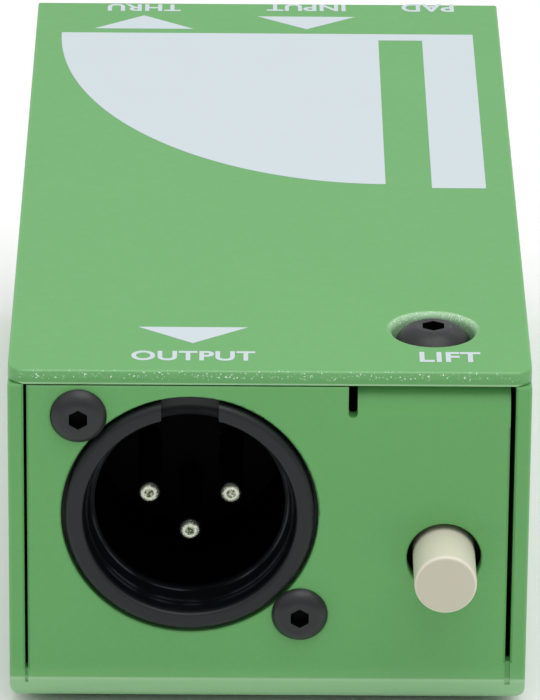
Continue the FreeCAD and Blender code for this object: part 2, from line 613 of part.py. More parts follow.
def xlr_ground_contact():
    """Thin strip pinched between the socket's flange and the panel, bent back under the socket."""
    g = XLR_GROUND
    x0 = XLR_X - g["w"] / 2
    x1 = XLR_X + g["w"] / 2
    z_low = XLR_Z - XLR_FLANGE / 2
    tongue = box(x0, x1, Y_IN_FRONT, Y_IN_FRONT + g["t"], z_low - g["t"], z_low + g["tongue"])
    return tongue.fuse(box(x0, x1, Y_IN_FRONT, Y_IN_FRONT + g["leg"], z_low - g["t"], z_low))


def xlr_screws():
    heads = []
    for x, z in xlr_screw_points():
        heads.append(button_head_screw(XLR_SCREW, (x, Y_FRONT, z), (0, 1, 0)))
    return Part.makeCompound(heads)


# ---------------------------------------------------------------- push switch, built at the front
CAVITY_HALF = BLOCK / 2 + SLIDE_GAP
BLOCK_Y0 = HOUSING_Y0 + SWITCH_WALL + SLIDE_GAP
BLOCK_Y1 = BLOCK_Y0 + BLOCK_LEN
WIPER_T = 0.25
WIPER_W = 4.0
WIPER_INSET = 0.5
PAD_GAP = 0.1
CONTACT_T = 0.5
Z_WIPER = BUTTON_Z - BLOCK / 2 - WIPER_T
Z_CONTACT = Z_WIPER - PAD_GAP
Z_CAVITY = Z_CONTACT - CONTACT_T
TERMINAL_PITCH = 2.5
TERMINAL_DX = 1.5
TERMINAL_SIDE = 0.6
CONTACT_PAD = {"w": 1.6, "len": 2.0}


def button_cap():
    """Round cap with a square socket for the stem."""
    y0 = Y_FRONT - BUTTON_PROUD
    y1 = Y_IN_FRONT + CAP_BACK
    cap = rod((BUTTON_X, y0, BUTTON_Z), (0, 1, 0), BUTTON_R, y1 - y0)
    rim = 2 * math.pi * BUTTON_R
    face_edge = [e for e in cap.Edges if near(e.Vertexes[0].Y, y0) and near(e.Length, rim)]
    cap = cap.makeFillet(CAP_ROUND, face_edge)
    half = STEM / 2
    y_stem = y1 - STEM_IN_CAP
    return cap.cut(box(BUTTON_X - half, BUTTON_X + half, y_stem, y1 + EPS, BUTTON_Z - half, BUTTON_Z + half))


def button_plunger():
    """Square stem pressed into the cap, with the sliding block on its end."""
    half = STEM / 2
    y_stem = Y_IN_FRONT + CAP_BACK - STEM_IN_CAP
    stem = box(BUTTON_X - half, BUTTON_X + half, y_stem, BLOCK_Y0 + EPS, BUTTON_Z - half, BUTTON_Z + half)
    block = BLOCK / 2
    slider = box(BUTTON_X - block, BUTTON_X + block, BLOCK_Y0, BLOCK_Y1, BUTTON_Z - block, BUTTON_Z + block)
    return stem.fuse(slider).removeSplitter()


def switch_wiper():
    """Sprung bridge under the block that joins the terminals."""
    half = WIPER_W / 2
    y0 = BLOCK_Y0 + WIPER_INSET
    return box(BUTTON_X - half, BUTTON_X + half, y0, BLOCK_Y1 - WIPER_INSET, Z_WIPER, Z_WIPER + WIPER_T)


def terminal_points():
    middle = (HOUSING_Y0 + HOUSING_Y1) / 2
    points = []
    for k in (-1, 0, 1):
        for side in (-1, 1):
            points.append((BUTTON_X + side * TERMINAL_DX, middle + k * TERMINAL_PITCH))
    return points


def switch_housing():
    half = SWITCH_W / 2
    z1 = BUTTON_Z + SWITCH_ABOVE
    housing = box(BUTTON_X - half, BUTTON_X + half, HOUSING_Y0, HOUSING_Y1, Z_BOARD_TOP, z1)
    housing = housing.cut(box(
        BUTTON_X - CAVITY_HALF, BUTTON_X + CAVITY_HALF, HOUSING_Y0 + SWITCH_WALL, HOUSING_Y1 - SWITCH_WALL,
        Z_CAVITY, BUTTON_Z + CAVITY_HALF,
    ))
    neck = STEM / 2 + SLIDE_GAP
    housing = housing.cut(box(
        BUTTON_X - neck, BUTTON_X + neck, HOUSING_Y0 - EPS, HOUSING_Y0 + SWITCH_WALL + EPS,
        BUTTON_Z - neck, BUTTON_Z + neck,
    ))
    pin = TERMINAL_SIDE / 2
    for x, y in terminal_points():
        housing = housing.cut(box(x - pin, x + pin, y - pin, y + pin, Z_BOARD_TOP - EPS, Z_CAVITY + EPS))
    return housing


def switch_terminals():
    pins = []
    pin = TERMINAL_SIDE / 2
    pad_w = CONTACT_PAD["w"] / 2
    pad_len = CONTACT_PAD["len"] / 2
    for x, y in terminal_points():
        leg = box(x - pin, x + pin, y - pin, y + pin, Z_TAIL, Z_CONTACT)
        pad = box(x - pad_w, x + pad_w, y - pad_len, y + pad_len, Z_CAVITY, Z_CONTACT)
        pins.append(leg.fuse(pad).removeSplitter())
    return Part.makeCompound(pins)


def coil_point(turn, length):
    """Point on the spring's centre line, after a number of turns."""
    angle = 2 * math.pi * turn
    return V(SPRING_R * math.cos(angle), SPRING_R * math.sin(angle), length * turn / SPRING_TURNS)


def button_spring():
    """Coil spring between the block and the housing's rear wall: four rising arcs to a turn."""
    end = SPRING_WIRE + SPRING_END_GAP
    y0 = BLOCK_Y1 + end
    length = HOUSING_Y1 - SWITCH_WALL - end - y0
    arcs = []
    for quarter in range(SPRING_TURNS * 4):
        ends = [coil_point((quarter + part) / 4, length) for part in (0, 0.5, 1)]
        arcs.append(Part.Arc(*ends).toShape())
    path = Part.Wire(arcs)
    first = path.Edges[0]
    circle = Part.makeCircle(SPRING_WIRE, coil_point(0, length), first.tangentAt(first.FirstParameter))
    sweep = Part.BRepOffsetAPI.MakePipeShell(path)
    sweep.add(Part.Wire(circle))
    sweep.build()
    sweep.makeSolid()
    coil = sweep.shape()
    coil.Placement = FreeCAD.Placement(V(BUTTON_X, y0, BUTTON_Z), FreeCAD.Rotation(V(0, 0, 1), V(0, 1, 0)))
    return coil


# ---------------------------------------------------------------- rear jacks
def jack_body(x):
    half = JACK_W / 2
    y0 = JACK_Y0
    z0 = Z_BOARD_TOP
    body = box(x - half, x + half, y0, Y_IN_REAR, z0, JACK_Z + JACK_HALF_H)
    body = body.cut(rod((x, y0 + JACK_END_WALL, JACK_Z), (0, 1, 0), JACK_BORE_R + JACK_PLUG_GAP, JACK_LEN))
    nose_y = Y_IN_REAR - JACK_BUSHING_IN
    body = body.cut(rod((x, nose_y, JACK_Z), (0, 1, 0), JACK_THREAD_R, JACK_BUSHING_IN + EPS))
    # pocket for the leaf beside the plug's tip, open at the top of the body, and its leg's way down
    gap = TIP_POCKET_GAP
    leaf = TIP_LEAF
    x_out = x - leaf["x"]
    x_in = x_out + leaf["t"]
    leg = JACK_LEG_W / 2
    body = body.cut(box(
        x_out - gap, x - TIP_NUB["x"] + gap, y0 + JACK_END_WALL, y0 + leaf["y1"] + gap,
        JACK_Z - leaf["low"] - gap, JACK_Z + JACK_HALF_H + EPS,
    ))
    y_leg = y0 + TIP_LEG_Y
    leg_half = leg + gap
    x_leg = (x_out - gap / 2, x_in + gap / 2)
    body = body.cut(box(x_leg[0], x_leg[1], y_leg - leg_half, y_leg + leg_half, z0 - EPS, JACK_Z))
    # slot for the strip beside the nose
    y_strip = Y_IN_REAR - SLEEVE_STRIP_AT
    return body.cut(box(
        x + JACK_THREAD_R, x + JACK_THREAD_R + SLEEVE_STRIP_T + gap / 2,
        y_strip - leg_half, y_strip + leg_half, z0 - EPS, JACK_Z + SLEEVE_STRIP_TOP + gap,
    ))


def jack_bushing(x):
    """Threaded metal nose that is the sleeve contact and takes the plug."""
    length = JACK_BUSHING_IN + SHEET + JACK_BUSHING_OUT
    nose = rod((x, Y_IN_REAR - JACK_BUSHING_IN, JACK_Z), (0, 1, 0), JACK_THREAD_R, length)
    outer_edge = [
        e for e in nose.Edges
        if near(e.Vertexes[0].Y, Y_REAR + JACK_BUSHING_OUT) and near(e.Length, 2 * math.pi * JACK_THREAD_R)
    ]
    nose = nose.makeChamfer(JACK_NOSE_CHAMFER, outer_edge)
    y_start = Y_IN_REAR - JACK_BUSHING_IN - EPS
    return nose.cut(rod((x, y_start, JACK_Z), (0, 1, 0), JACK_BORE_R, length + 2 * EPS))


def jack_washer(x):
    washer = rod((x, Y_REAR, JACK_Z), (0, 1, 0), JACK_WASHER_R, JACK_WASHER_T)
    bore_r = JACK_THREAD_R + THREAD_GAP
    return washer.cut(rod((x, Y_REAR - EPS, JACK_Z), (0, 1, 0), bore_r, JACK_WASHER_T + 2 * EPS))


def jack_nut(x):
    y0 = Y_REAR + JACK_WASHER_T
    nut = hexagon_prism((x, y0, JACK_Z), (0, 1, 0), JACK_NUT_AF, JACK_NUT_T)
    corner = JACK_NUT_AF / math.sqrt(3)
    y1 = y0 + JACK_NUT_T
    crown = revolve_y(
        [(0, y0 - EPS), (corner + EPS, y0 - EPS), (corner + EPS, y1 - JACK_NUT_CROWN["down"]),
         (corner - JACK_NUT_CROWN["in"], y1), (0, y1)],
        x, JACK_Z,
    )
    nut = nut.common(crown)
    return nut.cut(rod((x, y0 - EPS, JACK_Z), (0, 1, 0), JACK_THREAD_R + THREAD_GAP, JACK_NUT_T + 2 * EPS))


def jack_tip_contact(x):
    """Leaf beside the plug's tip, with its solder leg."""
    y0 = JACK_Y0
    t = TIP_LEAF
    x0 = x - t["x"]
    x1 = x0 + t["t"]
    leg = JACK_LEG_W / 2
    y_leg = y0 + TIP_LEG_Y
    n = TIP_NUB
    leaf = box(x0, x1, y0 + t["y0"], y0 + t["y1"], JACK_Z - t["low"], JACK_Z + t["high"])
    down = box(x0, x1, y_leg - leg, y_leg + leg, Z_TAIL, JACK_Z)
    nub = box(x0, x - n["x"], y0 + n["y0"], y0 + n["y1"], JACK_Z - n["half"], JACK_Z + n["half"])
    return leaf.fuse([down, nub]).removeSplitter()


def jack_sleeve_terminal(x):
    """Strip from the nose's side down into the board."""
    x0 = x + JACK_THREAD_R
    y = Y_IN_REAR - SLEEVE_STRIP_AT
    half = JACK_LEG_W / 2
    return box(x0, x0 + SLEEVE_STRIP_T, y - half, y + half, Z_TAIL, JACK_Z + SLEEVE_STRIP_TOP)


# ---------------------------------------------------------------- board and what it carries
def board_hole_points():
    """Every solder hole: x, y and radius."""
    holes = []
    for x, _ in xlr_pin_points():
        holes.append((x, XLR_LEG_Y, XLR_PIN_R / 2))
    terminal_r = TERMINAL_SIDE * math.sqrt(0.5)
    for x, y in terminal_points():
        holes.append((x, y, terminal_r))
        holes.append((2 * BUTTON_X - x, -y, terminal_r))
    for x in JACK_XS.values():
        tip_x = x - TIP_LEAF["x"] + TIP_LEAF["t"] / 2
        holes.append((tip_x, JACK_Y0 + TIP_LEG_Y, JACK_LEG_HOLE_R))
        sleeve_x = x + JACK_THREAD_R + SLEEVE_STRIP_T / 2
        holes.append((sleeve_x, Y_IN_REAR - SLEEVE_STRIP_AT, JACK_LEG_HOLE_R))
    for x, y in transformer_pin_points():
        holes.append((x, y, TRAFO_PIN_R))
    for y in RESISTOR_YS:
        for side in (-1, 1):
            holes.append((RESISTOR_X + side * RESISTOR_PITCH / 2, y, LEAD_R))
    for side in (-1, 1):
        holes.append((CAPACITOR["x"] + side * CAPACITOR["pitch"] / 2, CAPACITOR_Y, LEAD_R))
    return holes


def main_board():
    """Board behind the socket, with an arm beside it for the lift switch."""
    x1 = X_IN - BOARD_EDGE_GAP
    y1 = Y_IN_REAR - BOARD_EDGE_GAP
    board = box(-x1, x1, BOARD_Y0, y1, Z_BOARD, Z_BOARD_TOP)
    arm = box(BOARD_ARM_X0, x1, Y_IN_FRONT + BOARD_EDGE_GAP, BOARD_Y0 + EPS, Z_BOARD, Z_BOARD_TOP)
    board = board.fuse(arm).removeSplitter()
    holes = board_hole_points()
    for x, y in STANDOFF_POINTS:
        holes.append((x, y, BOARD_SCREW["shank_r"]))
    for x, y, radius in holes:
        board = board.cut(rod((x, y, Z_BOARD - EPS), (0, 0, 1), radius + HOLE_GAP, BOARD_T + 2 * EPS))
    return board


def board_standoffs():
    """Hexagonal pillars clinched into the tray's floor."""
    pillars = []
    z0 = Z_TRAY + SHEET
    for x, y in STANDOFF_POINTS:
        pillar = hexagon_prism((x, y, z0), (0, 0, 1), STANDOFF_AF, Z_BOARD - z0)
        pillar = pillar.fuse(rod((x, y, Z_TRAY + STANDOFF_COLLAR_UP), (0, 0, 1), STANDOFF_COLLAR_R, SHEET))
        thread = rod((x, y, z0 + STANDOFF_SOLID), (0, 0, 1), BOARD_SCREW["shank_r"], BOARD_H)
        pillars.append(pillar.cut(thread))
    return Part.makeCompound(pillars)


def board_screws():
    screws = []
    for x, y in STANDOFF_POINTS:
        screws.append(button_head_screw(BOARD_SCREW, (x, y, Z_BOARD_TOP), (0, 0, -1)))
    return Part.makeCompound(screws)


def centred(half_x, half_y, z0, z1):
    """Block centred on the transformer's axis, with heights above the board."""
    return box(
        TRAFO_X - half_x, TRAFO_X + half_x, TRAFO_Y - half_y, TRAFO_Y + half_y, CAN_Z0 + z0, CAN_Z0 + z1,
    )


def transformer_pin_points():
    return [
        (TRAFO_X + i * TRAFO_PIN_DX, TRAFO_Y + j * TRAFO_PIN_DY)
        for i in (-1, 1) for j in (-1, 1)
    ]


def transformer_can():
    half = CAN_SIDE / 2
    can = centred(half, half, 0, CAN_H)
    upright = [e for e in can.Edges if near(e.Length, CAN_H)]
    can = can.makeFillet(CAN_CORNER, upright)
    top = edges_where(can, lambda p: near(p.z, CAN_Z0 + CAN_H))
    can = can.makeFillet(CAN_TOP_ROUND, top)
    inner = centred(half - CAN_WALL, half - CAN_WALL, -EPS, CAN_H - CAN_WALL)
    inner_upright = [e for e in inner.Edges if near(e.Length, CAN_H - CAN_WALL + EPS)]
    return can.cut(inner.makeFillet(CAN_CORNER - CAN_WALL, inner_upright))


def transformer_core():
    """Laminated core: a centre leg in a closed frame with two windows."""
    core = centred(CORE_W / 2, CORE_D / 2, 0, CORE_H)
    leg = CORE_LEG / 2
    for side in (-1, 1):
        x0, x1 = sorted((TRAFO_X + side * leg, TRAFO_X + side * (leg + CORE_WINDOW)))
        core = core.cut(box(
            x0, x1, TRAFO_Y - CORE_D, TRAFO_Y + CORE_D, CAN_Z0 + CORE_YOKE, CAN_Z0 + CORE_H - CORE_YOKE,
        ))
    return core


BOBBIN_X = CORE_LEG / 2 + BOBBIN_GAP + BOBBIN_WALL
BOBBIN_Y = CORE_D / 2 + BOBBIN_GAP + BOBBIN_WALL
BOBBIN_Z0 = CORE_YOKE + BOBBIN_GAP
BOBBIN_Z1 = CORE_H - CORE_YOKE - BOBBIN_GAP
BOBBIN_FLANGE_T = 0.6
COIL_Z0 = BOBBIN_Z0 + BOBBIN_FLANGE_T + COIL_GAP
COIL_Z1 = BOBBIN_Z1 - BOBBIN_FLANGE_T - COIL_GAP


def transformer_bobbin():
    flange_x = CORE_LEG / 2 + CORE_WINDOW - BOBBIN_GAP
    flange_y = BOBBIN_Y + 2 * COIL_T + 2 * COIL_GAP
    bobbin = centred(BOBBIN_X, BOBBIN_Y, BOBBIN_Z0, BOBBIN_Z1)
    bobbin = bobbin.fuse(centred(flange_x, flange_y, BOBBIN_Z0, BOBBIN_Z0 + BOBBIN_FLANGE_T))
    bobbin = bobbin.fuse(centred(flange_x, flange_y, BOBBIN_Z1 - BOBBIN_FLANGE_T, BOBBIN_Z1))
    bore = centred(BOBBIN_X - BOBBIN_WALL, BOBBIN_Y - BOBBIN_WALL, 0, CORE_H)
    bobbin = bobbin.cut(bore)
    for x, y in transformer_pin_points():
        bobbin = bobbin.cut(rod((x, y, CAN_Z0), (0, 0, 1), TRAFO_PIN_R, BOBBIN_Z0 + BOBBIN_FLANGE_T / 2))
    return bobbin


def coil(inset, thickness):
    """Winding round the bobbin: a rectangular ring that starts this far off its tube."""
    outer = centred(BOBBIN_X + inset + thickness, BOBBIN_Y + inset + thickness, COIL_Z0, COIL_Z1)
    upright = [e for e in outer.Edges if near(e.Length, COIL_Z1 - COIL_Z0)]
    outer = outer.makeFillet(inset + thickness * 0.6, upright)
    return outer.cut(centred(BOBBIN_X + inset, BOBBIN_Y + inset, COIL_Z0 - EPS, COIL_Z1 + EPS))


def transformer_primary():
    return coil(COIL_GAP, COIL_T)


def transformer_secondary():
    return coil(COIL_T + 2 * COIL_GAP, COIL_T)


def transformer_pins():
    pins = []
    for x, y in transformer_pin_points():
        top = CAN_Z0 + BOBBIN_Z0 + BOBBIN_FLANGE_T / 2
        pins.append(rod((x, y, Z_TAIL), (0, 0, 1), TRAFO_PIN_R, top - Z_TAIL))
    return Part.makeCompound(pins)


def resistors():
    """Barrel bodies lying on the board, each with its two bent leads."""
    group = []
    z = Z_BOARD_TOP + RESISTOR_R + RESISTOR_UP
    half = RESISTOR_PITCH / 2
    for y in RESISTOR_YS:
        body = rod((RESISTOR_X - RESISTOR_LEN / 2, y, z), (1, 0, 0), RESISTOR_R, RESISTOR_LEN)
        rims = [e for e in body.Edges if near(e.Length, 2 * math.pi * RESISTOR_R)]
        body = body.makeFillet(RESISTOR_ROUND, rims)
        body = body.fuse(rod((RESISTOR_X - half, y, z), (1, 0, 0), LEAD_R, RESISTOR_PITCH))
        for side in (-1, 1):
            x = RESISTOR_X + side * half
            body = body.fuse(Part.makeSphere(LEAD_R, V(x, y, z)))
            body = body.fuse(rod((x, y, Z_TAIL), (0, 0, 1), LEAD_R, z - Z_TAIL))
        group.append(body)
    return Part.makeCompound(group)


def film_capacitor():
    c = CAPACITOR
    body = box(
        c["x"] - c["w"] / 2, c["x"] + c["w"] / 2, CAPACITOR_Y - c["d"] / 2, CAPACITOR_Y + c["d"] / 2,
        Z_BOARD_TOP, Z_BOARD_TOP + c["h"],
    )
    body = body.makeFillet(c["round"], edges_where(body, lambda p: near(p.z, Z_BOARD_TOP + c["h"])))
    for side in (-1, 1):
        x = c["x"] + side * c["pitch"] / 2
        body = body.fuse(rod((x, CAPACITOR_Y, Z_TAIL), (0, 0, 1), LEAD_R, Z_BOARD_TOP - Z_TAIL + EPS))
    return body


# ---------------------------------------------------------------- assembly
def main():
    os.makedirs("parts", exist_ok=True)
    save("base_tray", base_tray())
    save("lid_plate", lid_plate())
    save("lid_screw", lid_screw())
    save("lid_weld_nut", lid_weld_nut())
    save("lid_rear_hook", lid_rear_hook())
    save("nonslip_pad", nonslip_pad())
    save("xlr_shell", xlr_shell())
    save("xlr_insert", xlr_insert())
    for number, (x, z) in enumerate(xlr_pin_points(), start=1):
        save("xlr_pin_%d" % number, xlr_pin(x, z))
    save("xlr_ground_contact", xlr_ground_contact())
    save("xlr_screws", xlr_screws())
    switch_parts = {
        "button_cap": button_cap,
        "button_plunger": button_plunger,
        "switch_wiper": switch_wiper,
        "switch_housing": switch_housing,
        "switch_terminals": switch_terminals,
        "button_spring": button_spring,
    }
    for name, build in switch_parts.items():
        save("lift_" + name, build())
        save("pad_" + name, turned_about_z(build(), BUTTON_X))
    jack_parts = {
        "jack_body": jack_body,
        "jack_bushing": jack_bushing,
        "jack_washer": jack_washer,
        "jack_nut": jack_nut,
        "jack_tip_contact": jack_tip_contact,
        "jack_sleeve_terminal": jack_sleeve_terminal,
    }
    for jack, x in JACK_XS.items():
        for name, build in jack_parts.items():
            save("%s_%s" % (jack, name), build(x))
    save("main_board", main_board())
    save("board_standoffs", board_standoffs())
    save("board_screws", board_screws())
    save("transformer_can", transformer_can())
    save("transformer_core", transformer_core())
    save("transformer_bobbin", transformer_bobbin())
    save("transformer_primary", transformer_primary())
    save("transformer_secondary", transformer_secondary())
    save("transformer_pins", transformer_pins())
    save("resistors", resistors())
    save("film_capacitor", film_capacitor())


main()
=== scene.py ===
import json
import math

import bmesh
import bpy
import numpy as np
from mathutils import Matrix, Vector


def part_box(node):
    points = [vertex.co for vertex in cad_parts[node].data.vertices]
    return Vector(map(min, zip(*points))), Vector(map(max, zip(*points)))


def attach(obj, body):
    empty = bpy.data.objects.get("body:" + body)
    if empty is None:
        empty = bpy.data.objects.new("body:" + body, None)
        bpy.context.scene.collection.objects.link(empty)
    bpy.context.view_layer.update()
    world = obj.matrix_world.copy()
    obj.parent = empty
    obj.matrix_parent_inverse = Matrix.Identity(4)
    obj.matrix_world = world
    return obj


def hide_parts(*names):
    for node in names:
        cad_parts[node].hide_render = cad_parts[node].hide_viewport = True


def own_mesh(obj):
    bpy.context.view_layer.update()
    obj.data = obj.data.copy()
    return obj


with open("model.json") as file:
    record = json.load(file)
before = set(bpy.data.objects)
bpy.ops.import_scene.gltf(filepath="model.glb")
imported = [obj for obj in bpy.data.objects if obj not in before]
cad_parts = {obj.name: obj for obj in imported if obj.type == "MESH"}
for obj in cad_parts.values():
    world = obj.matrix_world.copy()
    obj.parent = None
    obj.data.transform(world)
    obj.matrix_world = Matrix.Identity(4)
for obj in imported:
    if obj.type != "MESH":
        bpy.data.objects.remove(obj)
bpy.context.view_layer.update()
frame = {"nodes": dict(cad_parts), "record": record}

nodes = frame["nodes"]
mm = 0.001
print("frame loaded:", len(nodes), "nodes")


def addNode(tree, kind, inputs=None, **settings):
    # settings are the node's own properties; each input is a value or another node's output
    made = tree.nodes.new(kind)
    for name, value in settings.items():
        setattr(made, name, value)
    for key, value in (inputs or {}).items():
        if isinstance(value, bpy.types.NodeSocket):
            tree.links.new(value, made.inputs[key])
        else:
            made.inputs[key].default_value = value
    return made


def calc(tree, operation, *values, clamp=False):
    # one Math node; gives its output
    made = addNode(tree, "ShaderNodeMath", dict(enumerate(values)), operation=operation, use_clamp=clamp)
    return made.outputs[0]


def noise(tree, place, scale, detail=2.0, roughness=0.5):
    settings = {"Vector": place, "Scale": scale, "Detail": detail, "Roughness": roughness}
    return addNode(tree, "ShaderNodeTexNoise", settings).outputs["Fac"]


def ramp(tree, value, low, high, outLow=0.0, outHigh=1.0, smooth=True):
    # maps low..high to outLow..outHigh, clamped
    made = addNode(
        tree, "ShaderNodeMapRange",
        {"Value": value, "From Min": low, "From Max": high, "To Min": outLow, "To Max": outHigh},
        interpolation_type="SMOOTHSTEP" if smooth else "LINEAR", clamp=True,
    )
    return made.outputs[0]


def blendColour(tree, factor, first, second):
    made = addNode(tree, "ShaderNodeMix", {0: factor, 6: first, 7: second}, data_type="RGBA")
    return made.outputs[2]


def coordinates(tree, vector):
    return addNode(tree, "ShaderNodeSeparateXYZ", {0: vector}).outputs


def vectorMath(tree, operation, first, second):
    return addNode(tree, "ShaderNodeVectorMath", {0: first, 1: second}, operation=operation).outputs[0]


def scaledColour(tree, colour, shade):
    return addNode(tree, "ShaderNodeVectorMath", {0: colour, "Scale": shade}, operation="SCALE").outputs[0]


def wander(tree, value, amount):
    # a noise value's distance from its middle, times amount
    return calc(tree, "MULTIPLY", calc(tree, "SUBTRACT", value, 0.5), amount)


def mixNoise(tree, first, firstShare, second, secondShare):
    # two noises added by their shares, less the middle
    first = calc(tree, "MULTIPLY", first, firstShare)
    second = calc(tree, "MULTIPLY", second, secondShare)
    return calc(tree, "SUBTRACT", calc(tree, "ADD", first, second), 0.5)


def newGroup(name, inputs, outputs):
    tree = bpy.data.node_groups.new(name, "ShaderNodeTree")
    for label, kind, value in inputs:
        made = tree.interface.new_socket(name=label, in_out="INPUT", socket_type=kind)
        if value is not None:
            made.default_value = value
    for label, kind in outputs:
        tree.interface.new_socket(name=label, in_out="OUTPUT", socket_type=kind)
    return tree, tree.nodes.new("NodeGroupInput").outputs, tree.nodes.new("NodeGroupOutput").inputs


def useGroup(tree, group, **inputs):
    return addNode(tree, "ShaderNodeGroup", inputs, node_tree=group).outputs


vectorKind, floatKind, colourKind = "NodeSocketVector", "NodeSocketFloat", "NodeSocketColor"
surfaceOutputs = [("Colour", colourKind), ("Roughness", floatKind), ("Height", floatKind)]

coatGrain = {
    "cloud": 45.0, "speckle": 3200.0, "rough": 700.0, "roughAmount": 0.15,
    "fine": 1100.0, "broad": 420.0, "broadShare": 0.8,
}


def buildCoatGroup():
    # sprayed and baked powder: broad cloudy shade, fine speckle, and the low dimples of orange peel
    s = coatGrain
    tree, given, put = newGroup(
        "coatSurface",
        [("Place", vectorKind, None), ("Colour", colourKind, (0.2, 0.4, 0.2, 1)), ("Cloud", floatKind, 0.05),
         ("Speckle", floatKind, 0.05), ("Roughness", floatKind, 0.4)],
        surfaceOutputs,
    )
    place = given["Place"]
    cloud = wander(tree, noise(tree, place, s["cloud"], 3.0), given["Cloud"])
    speck = wander(tree, noise(tree, place, s["speckle"], 1.0), given["Speckle"])
    shade = calc(tree, "ADD", calc(tree, "ADD", cloud, speck), 1.0)
    tree.links.new(scaledColour(tree, given["Colour"], shade), put["Colour"])
    rough = wander(tree, noise(tree, place, s["rough"]), s["roughAmount"])
    tree.links.new(calc(tree, "ADD", rough, given["Roughness"]), put["Roughness"])
    broad = calc(tree, "MULTIPLY", noise(tree, place, s["broad"]), s["broadShare"])
    tree.links.new(calc(tree, "ADD", noise(tree, place, s["fine"], 1.0), broad), put["Height"])
    return tree


def buildEdgeGroup():
    # how near a point is to an edge of a box: the second nearest of its three pairs of faces, faded
    # over Reach
    tree, given, put = newGroup(
        "boxEdge",
        [("Place", vectorKind, None), ("Centre", vectorKind, None), ("Half", vectorKind, None),
         ("Reach", floatKind, 0.0004)],
        [("Mask", floatKind)],
    )
    away = vectorMath(tree, "SUBTRACT", given["Place"], given["Centre"])
    away = addNode(tree, "ShaderNodeVectorMath", {0: away}, operation="ABSOLUTE").outputs[0]
    parts = coordinates(tree, vectorMath(tree, "SUBTRACT", given["Half"], away))
    lower = calc(tree, "MINIMUM", parts[0], parts[1])
    upper = calc(tree, "MAXIMUM", parts[0], parts[1])
    middle = calc(tree, "MAXIMUM", lower, calc(tree, "MINIMUM", upper, parts[2]))
    tree.links.new(ramp(tree, middle, given["Reach"], 0.0), put["Mask"])
    return tree


fleckGrain = {"limit": 0.75, "shareReach": 0.4, "softness": 0.06}


def buildFleckGroup():
    # bright flecks, painted glints: a hard threshold of fine noise, inside a mask
    s = fleckGrain
    tree, given, put = newGroup(
        "paintedGlintFlecks",
        [("Place", vectorKind, None), ("Mask", floatKind, 1.0), ("Size", floatKind, 0.0003),
         ("Share", floatKind, 0.3)],
        [("Mask", floatKind)],
    )
    grain = noise(tree, given["Place"], calc(tree, "DIVIDE", 1.0, given["Size"]), 2.0, 0.6)
    limit = calc(tree, "SUBTRACT", s["limit"], calc(tree, "MULTIPLY", given["Share"], s["shareReach"]))
    fleck = ramp(tree, grain, limit, calc(tree, "ADD", limit, s["softness"]))
    tree.links.new(calc(tree, "MULTIPLY", fleck, given["Mask"]), put["Mask"])
    return tree


skinGrain = {"fineShare": 0.4, "broad": 160.0, "broadShare": 0.6, "roughAmount": 0.35}


def buildGrainGroup():
    # moulded or cast skin: fine even grain, a little uneven shade, and a few longer rubs
    s = skinGrain
    tree, given, put = newGroup(
        "mouldedSkin",
        [("Place", vectorKind, None), ("Colour", colourKind, (0.5, 0.5, 0.5, 1)), ("Shade", floatKind, 0.1),
         ("Grain", floatKind, 2500.0), ("Roughness", floatKind, 0.4)],
        surfaceOutputs,
    )
    fine = noise(tree, given["Place"], given["Grain"], 2.0)
    broad = noise(tree, given["Place"], s["broad"], 3.0)
    mixed = mixNoise(tree, fine, s["fineShare"], broad, s["broadShare"])
    shade = calc(tree, "ADD", 1.0, calc(tree, "MULTIPLY", mixed, given["Shade"]))
    tree.links.new(scaledColour(tree, given["Colour"], shade), put["Colour"])
    rough = calc(tree, "ADD", given["Roughness"], calc(tree, "MULTIPLY", mixed, s["roughAmount"]))
    tree.links.new(rough, put["Roughness"])
    tree.links.new(fine, put["Height"])
    return tree


plateGrain = {"streakShare": 0.5, "cloud": 260.0, "cloudShare": 0.5, "roughAmount": 0.4}


def buildPlateGroup():
    # plated or turned metal: streaks stretched along Grain, and a cloudy stain
    s = plateGrain
    tree, given, put = newGroup(
        "platedSkin",
        [("Place", vectorKind, None), ("Colour", colourKind, (0.8, 0.8, 0.8, 1)),
         ("Grain", vectorKind, (4000.0, 300.0, 4000.0)), ("Stain", floatKind, 0.2),
         ("Roughness", floatKind, 0.25)],
        surfaceOutputs,
    )
    streak = noise(tree, vectorMath(tree, "MULTIPLY", given["Place"], given["Grain"]), 1.0, 3.0, 0.6)
    cloud = noise(tree, given["Place"], s["cloud"], 3.0)
    mixed = mixNoise(tree, streak, s["streakShare"], cloud, s["cloudShare"])
    shade = calc(tree, "ADD", 1.0, calc(tree, "MULTIPLY", mixed, given["Stain"]))
    tree.links.new(scaledColour(tree, given["Colour"], shade), put["Colour"])
    rough = calc(tree, "ADD", given["Roughness"], calc(tree, "MULTIPLY", mixed, s["roughAmount"]))
    tree.links.new(rough, put["Roughness"])
    tree.links.new(streak, put["Height"])
    return tree


dustGrain = {
    "patch": 220.0, "patchFrom": 0.42, "patchTo": 0.75, "patchShare": 0.5,
    "speck": 2600.0, "speckFrom": 0.7, "speckTo": 0.78, "upFrom": 0.2, "upTo": 0.9,
}


